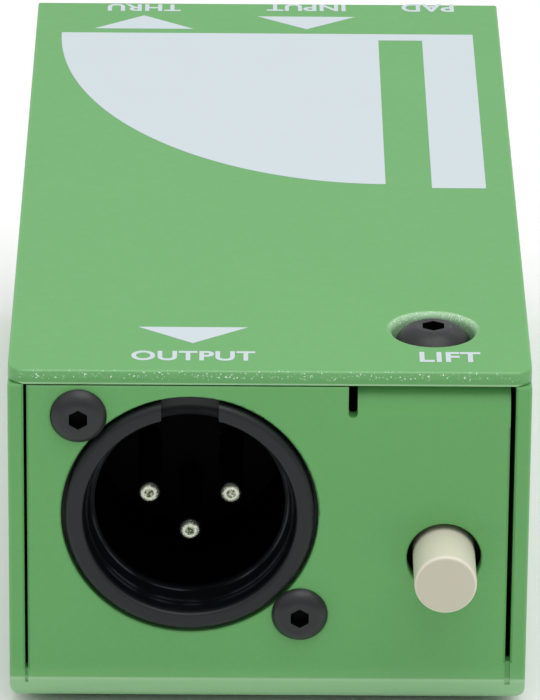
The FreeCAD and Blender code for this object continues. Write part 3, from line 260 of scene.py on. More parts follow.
def buildDustGroup():
    # pale dust on faces that look up, in soft patches and separate specks
    s = dustGrain
    tree, given, put = newGroup(
        "settledDust",
        [("Place", vectorKind, None), ("Amount", floatKind, 0.2)],
        [("Mask", floatKind)],
    )
    up = coordinates(tree, addNode(tree, "ShaderNodeNewGeometry").outputs["Normal"])[2]
    patch = ramp(tree, noise(tree, given["Place"], s["patch"], 4.0, 0.6), s["patchFrom"], s["patchTo"])
    speck = ramp(tree, noise(tree, given["Place"], s["speck"], 1.0), s["speckFrom"], s["speckTo"])
    amount = calc(tree, "ADD", calc(tree, "MULTIPLY", patch, s["patchShare"]), speck)
    amount = calc(tree, "MULTIPLY", amount, ramp(tree, up, s["upFrom"], s["upTo"]))
    tree.links.new(calc(tree, "MULTIPLY", amount, given["Amount"], clamp=True), put["Mask"])
    return tree


coatGroup = buildCoatGroup()
edgeGroup = buildEdgeGroup()
fleckGroup = buildFleckGroup()
grainGroup = buildGrainGroup()
plateGroup = buildPlateGroup()
dustGroup = buildDustGroup()
print("shared effects ready")


def startMaterial(name, shader):
    material = bpy.data.materials.new(name)
    material.use_nodes = True
    tree = material.node_tree
    principled = tree.nodes["Principled BSDF"]
    for key, value in shader.items():
        principled.inputs[key].default_value = value
    place = addNode(tree, "ShaderNodeTexCoord").outputs["Object"]
    return material, tree, principled, place


def bumpTo(tree, principled, height, distance, strength=1.0):
    made = addNode(tree, "ShaderNodeBump", {"Height": height, "Distance": distance, "Strength": strength})
    tree.links.new(made.outputs["Normal"], principled.inputs["Normal"])


def finishWith(tree, principled, colour, roughness):
    tree.links.new(colour, principled.inputs["Base Color"])
    tree.links.new(roughness, principled.inputs["Roughness"])


def mouldedSkin(tree, place, colour, s):
    return useGroup(
        tree, grainGroup, Place=place, Colour=colour, Shade=s["shade"], Grain=s["grain"],
        Roughness=s["roughness"])


def axisDistance(tree, parts, pair, centre):
    # distance from a line through centre, across the two coordinates of pair
    first = calc(tree, "SUBTRACT", parts[pair[0]], centre[0])
    second = calc(tree, "SUBTRACT", parts[pair[1]], centre[1])
    first = calc(tree, "MULTIPLY", first, first)
    second = calc(tree, "MULTIPLY", second, second)
    return calc(tree, "SQRT", calc(tree, "ADD", first, second))


def paint(tree, mask, share, colour, over):
    # colour laid over another inside a mask, by a share
    return blendColour(tree, calc(tree, "MULTIPLY", mask, share), over, colour)


greenCoat = {
    "colour": (0.123, 0.364, 0.115, 1), "cloud": 0.07, "speckle": 0.10, "roughness": 0.40,
    "peelHeight": 0.000012, "edgeHighlightColour": (0.26, 0.50, 0.25, 1), "edgeReach": 0.00035, "edgeHighlightShare": 0.35,
    "fleckGlintColour": (0.55, 0.70, 0.58, 1), "fleckSize": 0.00016,
}


def coatMaterial(name, node, fleckShare, specular):
    # green powder coat: a painted highlight along the cut edges, standing for light caught by their rounding,
    # and painted glints (bright flecks) there
    s = greenCoat
    material, tree, principled, place = startMaterial(name, {"Specular IOR Level": specular})
    skin = useGroup(
        tree, coatGroup, Place=place, Colour=s["colour"], Cloud=s["cloud"], Speckle=s["speckle"],
        Roughness=s["roughness"],
    )
    low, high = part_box(node)
    centre, half = tuple((low + high) / 2), tuple((high - low) / 2)
    edge = useGroup(tree, edgeGroup, Place=place, Centre=centre, Half=half, Reach=s["edgeReach"])["Mask"]
    # painted glints: bright flecks near the edges
    fleck = useGroup(tree, fleckGroup, Place=place, Mask=edge, Size=s["fleckSize"], Share=fleckShare)["Mask"]
    # painted highlight: the coat colour lightened along the edges
    edgeHighlighted = paint(tree, edge, s["edgeHighlightShare"], s["edgeHighlightColour"], skin["Colour"])
    return material, tree, principled, place, skin, blendColour(tree, fleck, edgeHighlighted, s["fleckGlintColour"])


trayCoat = {
    "fleckShare": 0.02, "specular": 0.3, "foldTop": 0.00285, "foldFade": 0.0003,
    "foldReflectionColour": (0.27, 0.525, 0.262, 1), "foldReflectionShare": 0.95, "foldRoughness": 0.22, "foldSpecular": 0.6,
    "endReach": 0.0031, "endFade": 1.3, "highlightLineColour": (0.33, 0.56, 0.31, 1), "highlightLineReach": 0.00026,
    "highlightLineShare": 0.6, "lowReflectionTop": 0.0047, "lowReflectionShare": 0.2,
}


def trayMaterial():
    # the coat is glossier along the lower fold of each end, and paler there as painted reflection of the
    # floor: a soft pale zone, a painted highlight line where the fold starts, then an even paler band down to
    # the floor
    s = trayCoat
    material, tree, principled, place, skin, colour = coatMaterial(
        "trayCoat", "base_tray", s["fleckShare"], s["specular"])
    low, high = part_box("base_tray")
    parts = coordinates(tree, place)
    start = low.z + s["foldTop"]
    along = calc(tree, "ABSOLUTE", parts[1])
    atEnd = ramp(tree, along, high.y - s["endReach"] * s["endFade"], high.y - s["endReach"])
    # fold band: painted reflection of the floor, and a glossier coat
    band = calc(tree, "MULTIPLY", ramp(tree, parts[2], start + s["foldFade"], start), atEnd)
    # painted highlight line where the fold starts
    line = calc(tree, "ABSOLUTE", calc(tree, "SUBTRACT", parts[2], start))
    line = calc(tree, "MULTIPLY", ramp(tree, line, s["highlightLineReach"], 0.0, 0.0, s["highlightLineShare"]), atEnd)
    # painted reflection of the floor, fading in towards the fold
    soft = ramp(tree, parts[2], low.z + s["lowReflectionTop"], start, 0.0, s["lowReflectionShare"])
    soft = calc(tree, "MULTIPLY", soft, atEnd)
    shade = calc(tree, "MAXIMUM", calc(tree, "MULTIPLY", band, s["foldReflectionShare"]), soft)
    colour = blendColour(tree, shade, colour, s["foldReflectionColour"])
    colour = blendColour(tree, line, colour, s["highlightLineColour"])
    rough = addNode(tree, "ShaderNodeMix", {0: band, 2: skin["Roughness"], 3: s["foldRoughness"]}).outputs[0]
    finishWith(tree, principled, colour, rough)
    shine = ramp(tree, band, 0.0, 1.0, s["specular"], s["foldSpecular"], smooth=False)
    tree.links.new(shine, principled.inputs["Specular IOR Level"])
    bumpTo(tree, principled, skin["Height"], greenCoat["peelHeight"])
    return material


lidCoat = {
    "fleckShare": 0.05, "specular": 0.45, "sheet": 0.0015,
    "cutDepth": 0.00012, "cutFleck": 0.27, "cutFleckSize": 0.00019, "cutFleckFoot": 0.0009,
    "cutShadeColour": (0.085, 0.29, 0.08, 1), "cutShadeShare": 0.5, "cutShadeFrom": 0.35, "cutShadeTo": 0.65,
    "highlightLineColour": (0.36, 0.60, 0.34, 1), "highlightLineReach": 0.00018, "highlightLineFade": 1.6, "highlightLineShare": 0.8,
    "bowlRadius": 0.0048, "bowlFade": 0.0004, "bowlDepth": 0.00006, "bowlHighlightShare": 0.4,
    "farLipHighlightColour": (0.42, 0.64, 0.42, 1), "farFrom": -0.0004, "farTo": 0.0024, "farLipHighlightShare": 0.5,
    "farFleck": 0.40, "farFleckSize": 0.00012, "sparkGlintColour": (0.95, 0.98, 0.96, 1),
}


def lidMaterial():
    # the lid's coat: on its front cut a few painted glints, painted shade in the middle and a painted
    # highlight line along its foot; a painted highlight over the pressed bowl round the screw, stronger on
    # its far lip, which carries fine painted glints
    s = lidCoat
    material, tree, principled, place, skin, colour = coatMaterial(
        "lidCoat", "lid_plate", s["fleckShare"], s["specular"])
    low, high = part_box("lid_plate")
    parts = coordinates(tree, place)
    foot = high.z - s["sheet"]
    cut = ramp(tree, parts[1], low.y + s["cutDepth"] * 2, low.y + s["cutDepth"] * 0.5)
    # painted shade: the middle of the front cut darker
    dark = ramp(tree, parts[2], high.z - s["sheet"] * s["cutShadeFrom"], high.z - s["sheet"] * s["cutShadeTo"])
    colour = paint(tree, calc(tree, "MULTIPLY", cut, dark), s["cutShadeShare"], s["cutShadeColour"], colour)
    # painted highlight line along the foot of the front cut
    line = ramp(tree, parts[2], foot + s["highlightLineReach"] * s["highlightLineFade"], foot + s["highlightLineReach"])
    colour = paint(tree, calc(tree, "MULTIPLY", cut, line), s["highlightLineShare"], s["highlightLineColour"], colour)
    screwLow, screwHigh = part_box("lid_screw")
    screwX, screwY = (screwLow.x + screwHigh.x) / 2, (screwLow.y + screwHigh.y) / 2
    radius = axisDistance(tree, parts, (0, 1), (screwX, screwY))
    # painted highlight over the pressed bowl round the screw
    bowl = ramp(tree, radius, s["bowlRadius"], s["bowlRadius"] - s["bowlFade"])
    bowl = calc(tree, "MULTIPLY", bowl, ramp(tree, parts[2], high.z, high.z - s["bowlDepth"]))
    colour = paint(tree, bowl, s["bowlHighlightShare"], greenCoat["edgeHighlightColour"], colour)
    # stronger painted highlight on the bowl's far lip
    along = calc(tree, "SUBTRACT", parts[1], screwY)
    farLipHighlight = calc(tree, "MULTIPLY", bowl, ramp(tree, along, s["farFrom"], s["farTo"]))
    colour = paint(tree, farLipHighlight, s["farLipHighlightShare"], s["farLipHighlightColour"], colour)
    # painted glints on the upper part of the front cut and on the bowl's far lip
    cutTop = ramp(tree, parts[2], foot + s["cutFleckFoot"] / 2, foot + s["cutFleckFoot"])
    cutTop = calc(tree, "MULTIPLY", cut, cutTop)
    cutFleck = useGroup(
        tree, fleckGroup, Place=place, Mask=cutTop, Size=s["cutFleckSize"], Share=s["cutFleck"])["Mask"]
    lipFleck = useGroup(
        tree, fleckGroup, Place=place, Mask=farLipHighlight, Size=s["farFleckSize"], Share=s["farFleck"])["Mask"]
    withGlints = blendColour(tree, calc(tree, "MAXIMUM", cutFleck, lipFleck), colour, s["sparkGlintColour"])
    finishWith(tree, principled, withGlints, skin["Roughness"])
    bumpTo(tree, principled, skin["Height"], greenCoat["peelHeight"])
    return material


plainSkins = {
    "insertBlack": {
        "colour": (0.0015, 0.0015, 0.002, 1), "roughness": 0.5, "grain": 1500.0, "shade": 0.3,
        "specular": 0.05},
    "jackBodyBlack": {
        "colour": (0.014, 0.014, 0.015, 1), "roughness": 0.42, "grain": 1600.0, "shade": 0.3,
        "height": 0.000008},
    "whiteNylon": {"colour": (0.72, 0.71, 0.66, 1), "roughness": 0.4, "shade": 0.08},
    "switchBlack": {"colour": (0.022, 0.022, 0.024, 1), "roughness": 0.45, "grain": 1600.0, "shade": 0.3},
    "padRubber": {
        "colour": (0.016, 0.016, 0.017, 1), "roughness": 0.75, "grain": 1300.0, "shade": 0.5,
        "height": 0.00008, "dust": 0.1, "dustColour": (0.55, 0.56, 0.55, 1)},
    "whiteInk": {
        "colour": (0.54, 0.607, 0.641, 1), "roughness": 0.5, "grain": 3000.0, "shade": 0.05,
        "specular": 0.35},
}


def skinMaterial(name, colour, roughness, grain=2500.0, shade=0.12, height=0.000004, specular=0.5, dust=0.0,
                 dustColour=None):
    # moulded plastic, rubber or ink
    material, tree, principled, place = startMaterial(name, {"Specular IOR Level": specular})
    skin = mouldedSkin(tree, place, colour, {"shade": shade, "grain": grain, "roughness": roughness})
    result = skin["Colour"]
    if dust:
        mask = useGroup(tree, dustGroup, Place=place, Amount=dust)["Mask"]
        result = blendColour(tree, mask, result, dustColour)
    finishWith(tree, principled, result, skin["Roughness"])
    bumpTo(tree, principled, skin["Height"], height)
    return material


platedSkins = {
    "silverPlate": {"colour": (0.86, 0.85, 0.82, 1), "roughness": 0.2, "stain": 0.2},
    "nickelPlate": {
        "colour": (0.66, 0.65, 0.62, 1), "roughness": 0.24, "stain": 0.2, "grain": (3000.0, 400.0, 3000.0)},
    "zincPlate": {
        "colour": (0.58, 0.60, 0.62, 1), "roughness": 0.34, "stain": 0.4, "grain": (500.0, 500.0, 500.0)},
    "springSteel": {
        "colour": (0.52, 0.52, 0.53, 1), "roughness": 0.28, "stain": 0.3, "grain": (2000.0, 2000.0, 2000.0)},
    "tinnedCan": {
        "colour": (0.62, 0.62, 0.62, 1), "roughness": 0.35, "stain": 0.35, "grain": (250.0, 250.0, 2500.0)},
    "coreLaminations": {
        "colour": (0.33, 0.32, 0.31, 1), "roughness": 0.45, "stain": 0.8, "grain": (60.0, 3600.0, 60.0),
        "height": 0.00002},
}


def plateMaterial(name, colour, roughness, stain, grain=(4000.0, 300.0, 4000.0), height=0.000001):
    # plated, turned or drawn metal
    material, tree, principled, place = startMaterial(name, {"Metallic": 1.0})
    skin = useGroup(
        tree, plateGroup, Place=place, Colour=colour, Grain=grain, Stain=stain, Roughness=roughness)
    finishWith(tree, principled, skin["Colour"], skin["Roughness"])
    bumpTo(tree, principled, skin["Height"], height)
    return material


boardFinish = {
    "colour": (0.02, 0.11, 0.035, 1), "shade": 0.25, "grain": 1800.0, "roughness": 0.35,
    "pathScale": 210.0, "pathFrom": 0.42, "pathTo": 0.46, "pathColour": (0.05, 0.20, 0.06, 1),
    "pathShare": 0.6, "pathHeight": 0.00002,
}


def boardMaterial():
    # glass fibre board under a green mask, with copper-backed paths showing through as a lighter pattern
    s = boardFinish
    material, tree, principled, place = startMaterial("boardMask", {"Specular IOR Level": 0.5})
    skin = mouldedSkin(tree, place, s["colour"], s)
    cells = addNode(
        tree, "ShaderNodeTexVoronoi", {"Vector": place, "Scale": s["pathScale"]},
        distance="CHEBYCHEV", feature="F1")
    path = ramp(tree, cells.outputs["Distance"], s["pathFrom"], s["pathTo"])
    colour = paint(tree, path, s["pathShare"], s["pathColour"], skin["Colour"])
    finishWith(tree, principled, colour, skin["Roughness"])
    bumpTo(tree, principled, path, s["pathHeight"], 0.5)
    return material


winding = {
    "colour": (0.72, 0.30, 0.13, 1), "grain": (300.0, 300.0, 4000.0), "stain": 0.3, "roughness": 0.3,
    "gapShadeColour": (0.12, 0.035, 0.015, 1), "gapShadeFrom": 0.35, "height": 0.00006,
    "primaryPitch": 0.00018, "secondaryPitch": 0.00024,
}


def windingMaterial(name, pitch):
    # enamelled wire laid side by side: round ridges one pitch apart up the coil, with painted shade in the
    # grooves between them
    s = winding
    material, tree, principled, place = startMaterial(name, {"Metallic": 1.0})
    skin = useGroup(
        tree, plateGroup, Place=place, Colour=s["colour"], Grain=s["grain"], Stain=s["stain"],
        Roughness=s["roughness"])
    height = coordinates(tree, place)[2]
    ridge = calc(tree, "ABSOLUTE", calc(tree, "SINE", calc(tree, "MULTIPLY", height, math.pi / pitch)))
    # painted shade in the grooves between the wires
    colour = blendColour(tree, ramp(tree, ridge, s["gapShadeFrom"], 0.0), skin["Colour"], s["gapShadeColour"])
    finishWith(tree, principled, colour, skin["Roughness"])
    bumpTo(tree, principled, ridge, s["height"])
    return material


tinnedLead = (0.75, 0.75, 0.74, 1)
resistorBands = {
    "colour": (0.20, 0.36, 0.48, 1), "shade": 0.2, "grain": 2200.0, "roughness": 0.35, "height": 0.000003,
    "rings": (
        (-0.0020, (0.25, 0.10, 0.03, 1)), (-0.0010, (0.02, 0.02, 0.02, 1)),
        (0.0, (0.5, 0.06, 0.03, 1)), (0.0019, (0.45, 0.30, 0.08, 1)),
    ),
    "ringOuter": 0.00030, "ringInner": 0.00022, "leadFrom": 0.00305, "leadTo": 0.0032,
}


def bandedMaterial():
    # moulded resistors: pale blue bodies with colour rings across X, bare leads at the ends
    s = resistorBands
    material, tree, principled, place = startMaterial("resistorBands", {"Specular IOR Level": 0.5})
    skin = mouldedSkin(tree, place, s["colour"], s)
    low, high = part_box("resistors")
    across = calc(tree, "SUBTRACT", coordinates(tree, place)[0], (low.x + high.x) / 2)
    colour = skin["Colour"]
    for offset, ring in s["rings"]:
        near = calc(tree, "ABSOLUTE", calc(tree, "SUBTRACT", across, offset))
        colour = blendColour(tree, ramp(tree, near, s["ringOuter"], s["ringInner"]), colour, ring)
    lead = ramp(tree, calc(tree, "ABSOLUTE", across), s["leadFrom"], s["leadTo"])
    finishWith(tree, principled, blendColour(tree, lead, colour, tinnedLead), skin["Roughness"])
    tree.links.new(lead, principled.inputs["Metallic"])
    bumpTo(tree, principled, skin["Height"], s["height"])
    return material


capacitor = {
    "colour": (0.36, 0.035, 0.02, 1), "shade": 0.2, "grain": 1800.0, "roughness": 0.3, "height": 0.000003,
    "leadHeight": 0.0030, "leadFade": 0.0001,
}


def capacitorMaterial():
    # a moulded box whose legs, near its lowest point, are bare tinned wire
    s = capacitor
    material, tree, principled, place = startMaterial("filmCapacitorRed", {"Specular IOR Level": 0.5})
    skin = mouldedSkin(tree, place, s["colour"], s)
    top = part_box("film_capacitor")[0].z + s["leadHeight"]
    lead = ramp(tree, coordinates(tree, place)[2], top + s["leadFade"], top)
    finishWith(tree, principled, blendColour(tree, lead, skin["Colour"], tinnedLead), skin["Roughness"])
    tree.links.new(lead, principled.inputs["Metallic"])
    bumpTo(tree, principled, skin["Height"], s["height"])
    return material


socket = {
    "rim": (0.0105, 0.0130, 0.0140, 1), "funnelShade": (0.0024, 0.0036, 0.0044, 1),
    "deepShade": (0.0005, 0.0005, 0.0008, 1), "shade": 0.3, "grain": 2200.0, "height": 0.000004,
    "roughness": 0.38, "rimSpecular": 0.30, "funnelSpecular": 0.10, "deepSpecular": 0.01,
    "mouthRadius": 0.0103, "fade": 0.0004, "ledge": 0.0037,
    "ring": (0.075, 0.085, 0.095, 1), "ringInner": 0.4, "patch": 260.0, "patchFrom": 0.35, "patchTo": 0.6,
    "rings": ((0.0095, 0.00011, 0.8), (0.00985, 0.00005, 0.35), (0.01005, 0.00004, 0.25)),
}


def socketMaterial():
    # moulded black: satin on the rim's face, and from the mouth inwards painted shade with almost no
    # reflection, darker still past the ledge, where patchy thin rings of painted highlight stand for a little
    # caught light
    s = socket
    material, tree, principled, place = startMaterial("socketBlack", {})
    skin = mouldedSkin(tree, place, s["rim"], s)
    low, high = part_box("xlr_shell")
    parts = coordinates(tree, place)
    radius = axisDistance(tree, parts, (0, 2), ((low.x + high.x) / 2, (low.z + high.z) / 2))
    # painted shade from the mouth inwards, darker still past the ledge
    within = ramp(tree, radius, s["mouthRadius"] + s["fade"], s["mouthRadius"])
    funnelShade = ramp(tree, parts[1], low.y + s["fade"] / 3, low.y + s["fade"] * 2)
    funnelShade = calc(tree, "MULTIPLY", funnelShade, within)
    ledge = low.y + s["ledge"]
    deepShade = calc(tree, "MULTIPLY", ramp(tree, parts[1], ledge + s["fade"] / 2, ledge + s["fade"] * 2), within)
    colour = blendColour(tree, funnelShade, skin["Colour"], s["funnelShade"])
    patch = ramp(tree, noise(tree, place, s["patch"], 2.0), s["patchFrom"], s["patchTo"])
    # thin rings of painted highlight in the funnel
    for where, reach, share in s["rings"]:
        near = calc(tree, "ABSOLUTE", calc(tree, "SUBTRACT", radius, where))
        near = ramp(tree, near, reach, reach * s["ringInner"], 0.0, share)
        colour = paint(tree, calc(tree, "MULTIPLY", near, patch), funnelShade, s["ring"], colour)
    finishWith(tree, principled, blendColour(tree, deepShade, colour, s["deepShade"]), skin["Roughness"])
    shine = ramp(tree, funnelShade, 0.0, 1.0, s["rimSpecular"], s["funnelSpecular"], smooth=False)
    drop = calc(tree, "MULTIPLY", deepShade, s["funnelSpecular"] - s["deepSpecular"])
    shine = calc(tree, "SUBTRACT", shine, drop)
    tree.links.new(shine, principled.inputs["Specular IOR Level"])
    bumpTo(tree, principled, skin["Height"], s["height"])
    return material


screwFinishes = {
    "lidScrewBlack": {
        "node": "lid_screw", "upright": True, "colour": (0.016, 0.018, 0.019, 1), "roughness": 0.36,
        "specular": 0.32, "keyRadius": 0.0013, "dust": 0.12},
    "screwBlack": {
        "node": "xlr_screws", "upright": False, "colour": (0.017, 0.019, 0.020, 1), "roughness": 0.34,
        "specular": 0.36, "keyRadius": 0.00108, "dust": 0.06},
}
screwHead = {
    "shade": 0.5, "grain": 1800.0, "height": 0.000006, "dustColour": (0.5, 0.51, 0.5, 1),
    "headRadius": 0.00272, "keyShadeColour": (0.003, 0.003, 0.0035, 1), "keyStart": 0.00006,
    "keyFade": 0.00004, "keySpecular": 0.02,
}


def screwMaterial(name):
    # black oxide head with a grain; inside the key's socket painted shade, nearly black and unreflecting. The
    # lid's screw stands upright, and the two of the socket lie along Y at opposite corners of their box.
    s, h = screwFinishes[name], screwHead
    material, tree, principled, place = startMaterial(name, {})
    skin = mouldedSkin(tree, place, s["colour"], {**h, "roughness": s["roughness"]})
    low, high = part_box(s["node"])
    parts = coordinates(tree, place)
    if s["upright"]:
        radius = axisDistance(tree, parts, (0, 1), ((low.x + high.x) / 2, (low.y + high.y) / 2))
        sunk = ramp(tree, parts[2], high.z - h["keyStart"], high.z - h["keyStart"] * 2)
    else:
        inset = h["headRadius"]
        first = axisDistance(tree, parts, (0, 2), (low.x + inset, high.z - inset))
        second = axisDistance(tree, parts, (0, 2), (high.x - inset, low.z + inset))
        radius = calc(tree, "MINIMUM", first, second)
        sunk = ramp(tree, parts[1], low.y + h["keyStart"], low.y + h["keyStart"] * 2)
    # painted shade inside the key's socket
    key = calc(tree, "MULTIPLY", sunk, ramp(tree, radius, s["keyRadius"] + h["keyFade"], s["keyRadius"]))
    mask = useGroup(tree, dustGroup, Place=place, Amount=s["dust"])["Mask"]
    dusty = blendColour(tree, mask, skin["Colour"], h["dustColour"])
    finishWith(tree, principled, blendColour(tree, key, dusty, h["keyShadeColour"]), skin["Roughness"])
    shine = ramp(tree, key, 0.0, 1.0, s["specular"], h["keySpecular"], smooth=False)
    tree.links.new(shine, principled.inputs["Specular IOR Level"])
    bumpTo(tree, principled, skin["Height"], h["height"])
    return material


contact = {
    "shaft": (0.08, 0.08, 0.075, 1), "stain": 0.3, "roughness": 0.3, "radius": 0.0012, "depth": 0.0007,
    "centre": (0.34, 0.37, 0.27, 1), "blotch": (0.06, 0.075, 0.04, 1), "shoulderShade": (0.06, 0.065, 0.06, 1),
    "grain": 2600.0, "blotchFrom": 0.42, "blotchTo": 0.56, "sparkScale": 1.7,
    "sparkFrom": 0.62, "sparkTo": 0.68, "ring": (0.72, 0.76, 0.66, 1), "ringFrom": 0.00055,
    "ringTo": 0.00084, "ringHighlightShare": 0.8,
    "height": 0.00002, "strength": 0.6,
}


def pinMaterial(name):
    # plated contact: on the tip a mottled, dulled centre with painted glints, inside a ring of painted
    # highlight, and a dark shoulder of painted shade
    s = contact
    material, tree, principled, place = startMaterial(name, {"Metallic": 1.0})
    skin = useGroup(
        tree, plateGroup, Place=place, Colour=s["shaft"], Stain=s["stain"], Roughness=s["roughness"])
    low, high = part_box(name)
    parts = coordinates(tree, place)
    radius = axisDistance(tree, parts, (0, 2), ((low.x + high.x) / 2, high.z - s["radius"]))
    blotch = ramp(tree, noise(tree, place, s["grain"], 3.0, 0.7), s["blotchFrom"], s["blotchTo"])
    tip = blendColour(tree, blotch, s["blotch"], s["centre"])
    # painted glints on the tip
    spark = ramp(tree, noise(tree, place, s["grain"] * s["sparkScale"], 1.0), s["sparkFrom"], s["sparkTo"])
    tip = blendColour(tree, spark, tip, s["ring"])
    # ring of painted highlight
    ring = ramp(tree, radius, s["ringFrom"] * 0.7, s["ringFrom"])
    ring = calc(tree, "MULTIPLY", ring, ramp(tree, radius, s["ringTo"], s["ringFrom"]))
    tip = paint(tree, ring, s["ringHighlightShare"], s["ring"], tip)
    # dark shoulder of painted shade
    tip = blendColour(tree, ramp(tree, radius, s["ringTo"] * 0.95, s["ringTo"] * 1.12), tip, s["shoulderShade"])
    atTip = ramp(tree, parts[1], low.y + s["depth"], low.y + s["depth"] * 0.8)
    finishWith(tree, principled, blendColour(tree, atTip, skin["Colour"], tip), skin["Roughness"])
    bumpTo(tree, principled, blotch, s["height"], s["strength"])
    return material


ivoryCap = {
    "side": (0.700, 0.650, 0.545, 1), "face": (0.540, 0.522, 0.400, 1), "roughness": 0.36, "specular": 0.45,
    "shade": 0.06, "grain": 900.0, "height": 0.000003, "faceFrom": 0.75, "faceTo": 0.98,
}


def capMaterial():
    # ivory push cap: the side paler than the face, which is painted darker as painted shade for the less
    # light it gets
    s = ivoryCap
    material, tree, principled, place = startMaterial("ivoryPlastic", {"Specular IOR Level": s["specular"]})
    skin = mouldedSkin(tree, place, s["side"], s)
    # painted shade: the face darker than the side
    facing = coordinates(tree, addNode(tree, "ShaderNodeNewGeometry").outputs["Normal"])[1]
    face = ramp(tree, calc(tree, "ABSOLUTE", facing), s["faceFrom"], s["faceTo"])
    finishWith(tree, principled, blendColour(tree, face, skin["Colour"], s["face"]), skin["Roughness"])
    bumpTo(tree, principled, skin["Height"], s["height"])
    return material


finishOfSlot = {
    "silver_plate": "silverPlate", "nickel_plate": "nickelPlate", "zinc_steel": "zincPlate",
    "spring_steel": "springSteel", "can_metal": "tinnedCan", "core_iron": "coreLaminations",
    "white_plastic": "whiteNylon", "switch_plastic": "switchBlack", "black_plastic": "jackBodyBlack",
    "pad_rubber": "padRubber", "button_plastic": "ivoryPlastic", "black_steel": "screwBlack",
}
finishOfNode = {
    "lid_screw": "lidScrewBlack", "xlr_insert": "insertBlack", "xlr_ground_contact": "silverPlate",
}


def allMaterials():
    # the finishes that several nodes share, by their own names, and the material of each node
    shared = {name: skinMaterial(name, **s) for name, s in plainSkins.items()}
    shared.update({name: plateMaterial(name, **s) for name, s in platedSkins.items()})
    shared.update({name: screwMaterial(name) for name in screwFinishes})
    shared["ivoryPlastic"] = capMaterial()
    given = {
        "base_tray": trayMaterial(), "lid_plate": lidMaterial(), "xlr_shell": socketMaterial(),
        "main_board": boardMaterial(), "resistors": bandedMaterial(), "film_capacitor": capacitorMaterial(),
        "transformer_primary": windingMaterial("primaryWire", winding["primaryPitch"]),
        "transformer_secondary": windingMaterial("secondaryWire", winding["secondaryPitch"]),
    }
    for name in ("xlr_pin_1", "xlr_pin_2", "xlr_pin_3"):
        given[name] = pinMaterial(name)
    for part in frame["record"]["subparts"]:
        name = part["node"]
        if name in finishOfNode:
            given[name] = shared[finishOfNode[name]]
        elif name not in given:
            given[name] = shared[finishOfSlot[part["material_slot"]]]
    return shared, given


sharedMaterials, materials = allMaterials()
for name, part in nodes.items():
    part.data.materials.clear()
    part.data.materials.append(materials[name])
print("materials:", len(bpy.data.materials))


def finishPiece(name, mesh, material, body="case"):
    made = bpy.data.objects.new(name, mesh)
    bpy.context.scene.collection.objects.link(made)
    mesh.materials.append(material)
    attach(made, body)
    return made


ink = {"material": sharedMaterials["whiteInk"], "thickness": 0.03 * mm}
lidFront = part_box("lid_plate")[0].y
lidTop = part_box("lid_plate")[1].z


def inkShape(name, outline):
    # an outline (millimetres across, and back from the front edge) carried straight up through the ink
    outline = np.asarray(outline, float) * mm
    across, back = outline[:, 0], outline[:, 1]
    if np.sum(across * np.roll(back, -1) - np.roll(across, -1) * back) < 0:
        outline = outline[::-1]
    count = len(outline)
    points = np.zeros((2 * count, 3))
    points[:, :2] = np.vstack([outline, outline]) + (0, lidFront)
    points[:count, 2] = lidTop
    points[count:, 2] = lidTop + ink["thickness"]
    ring = np.arange(count)
    walls = np.stack([ring, np.roll(ring, -1), np.roll(ring, -1) + count, ring + count], 1)
    faces = [ring[::-1].tolist(), (ring + count).tolist()] + walls.tolist()
    mesh = bpy.data.meshes.new(name)
    mesh.from_pydata(points.tolist(), [], faces)
    return finishPiece(name, mesh, ink["material"])


panel = {
    "centre": (11.9, 91.5), "radii": (34.1, 43.3), "steps": 64,
    "stripTop": 91.8, "stripFoot": 89.9, "barLeft": 16.6, "barRight": 22.1, "barFront": 47.2,
}


def whitePanel():
    # a quarter ellipse, cos and sin of the turn times the two radii, joined along its rear edge to a
    # plain bar
    s = panel
    (x, y), (radiusX, radiusY) = s["centre"], s["radii"]
    turn = np.linspace(0, math.pi / 2, s["steps"])
    arc = np.stack([x - radiusX * np.cos(turn), y - radiusY * np.sin(turn)], 1)
    rest = [
        (x, s["stripFoot"]), (s["barLeft"], s["stripFoot"]), (s["barLeft"], s["barFront"]),
        (s["barRight"], s["barFront"]), (s["barRight"], s["stripTop"]), (x - radiusX, s["stripTop"]),
    ]
    return inkShape("lidPanelPrint", np.vstack([arc, rest]))


arrows = {
    "outputArrowPrint": ((-12.7, 10.65), (-2.1, 10.65), (-7.4, 6.7)),
    "thruArrowPrint": ((-18.7, 93.1), (-8.0, 93.1), (-13.4, 97.2)),
    "inputArrowPrint": ((-1.1, 97.1), (9.5, 97.1), (4.2, 93.2)),
}
legends = {
    "outputLegend": {
        "word": "OUTPUT", "left": -13.25, "right": -1.4, "front": 2.5, "rear": 4.8, "turned": False},
    "liftLegend": {
        "word": "LIFT", "left": 14.3, "right": 20.15, "front": 2.5, "rear": 4.9, "turned": False},
    "thruLegend": {
        "word": "THRU", "left": -17.4, "right": -9.45, "front": 98.6, "rear": 100.7, "turned": True},
    "inputLegend": {
        "word": "INPUT", "left": -0.1, "right": 8.5, "front": 98.9, "rear": 101.0, "turned": True},
    "padLegend": {
        "word": "PAD", "left": 14.6, "right": 20.3, "front": 98.9, "rear": 101.3, "turned": True},
}
legendStyle = {"bold": 0.028, "gap": 1.06, "extrude": 0.05}


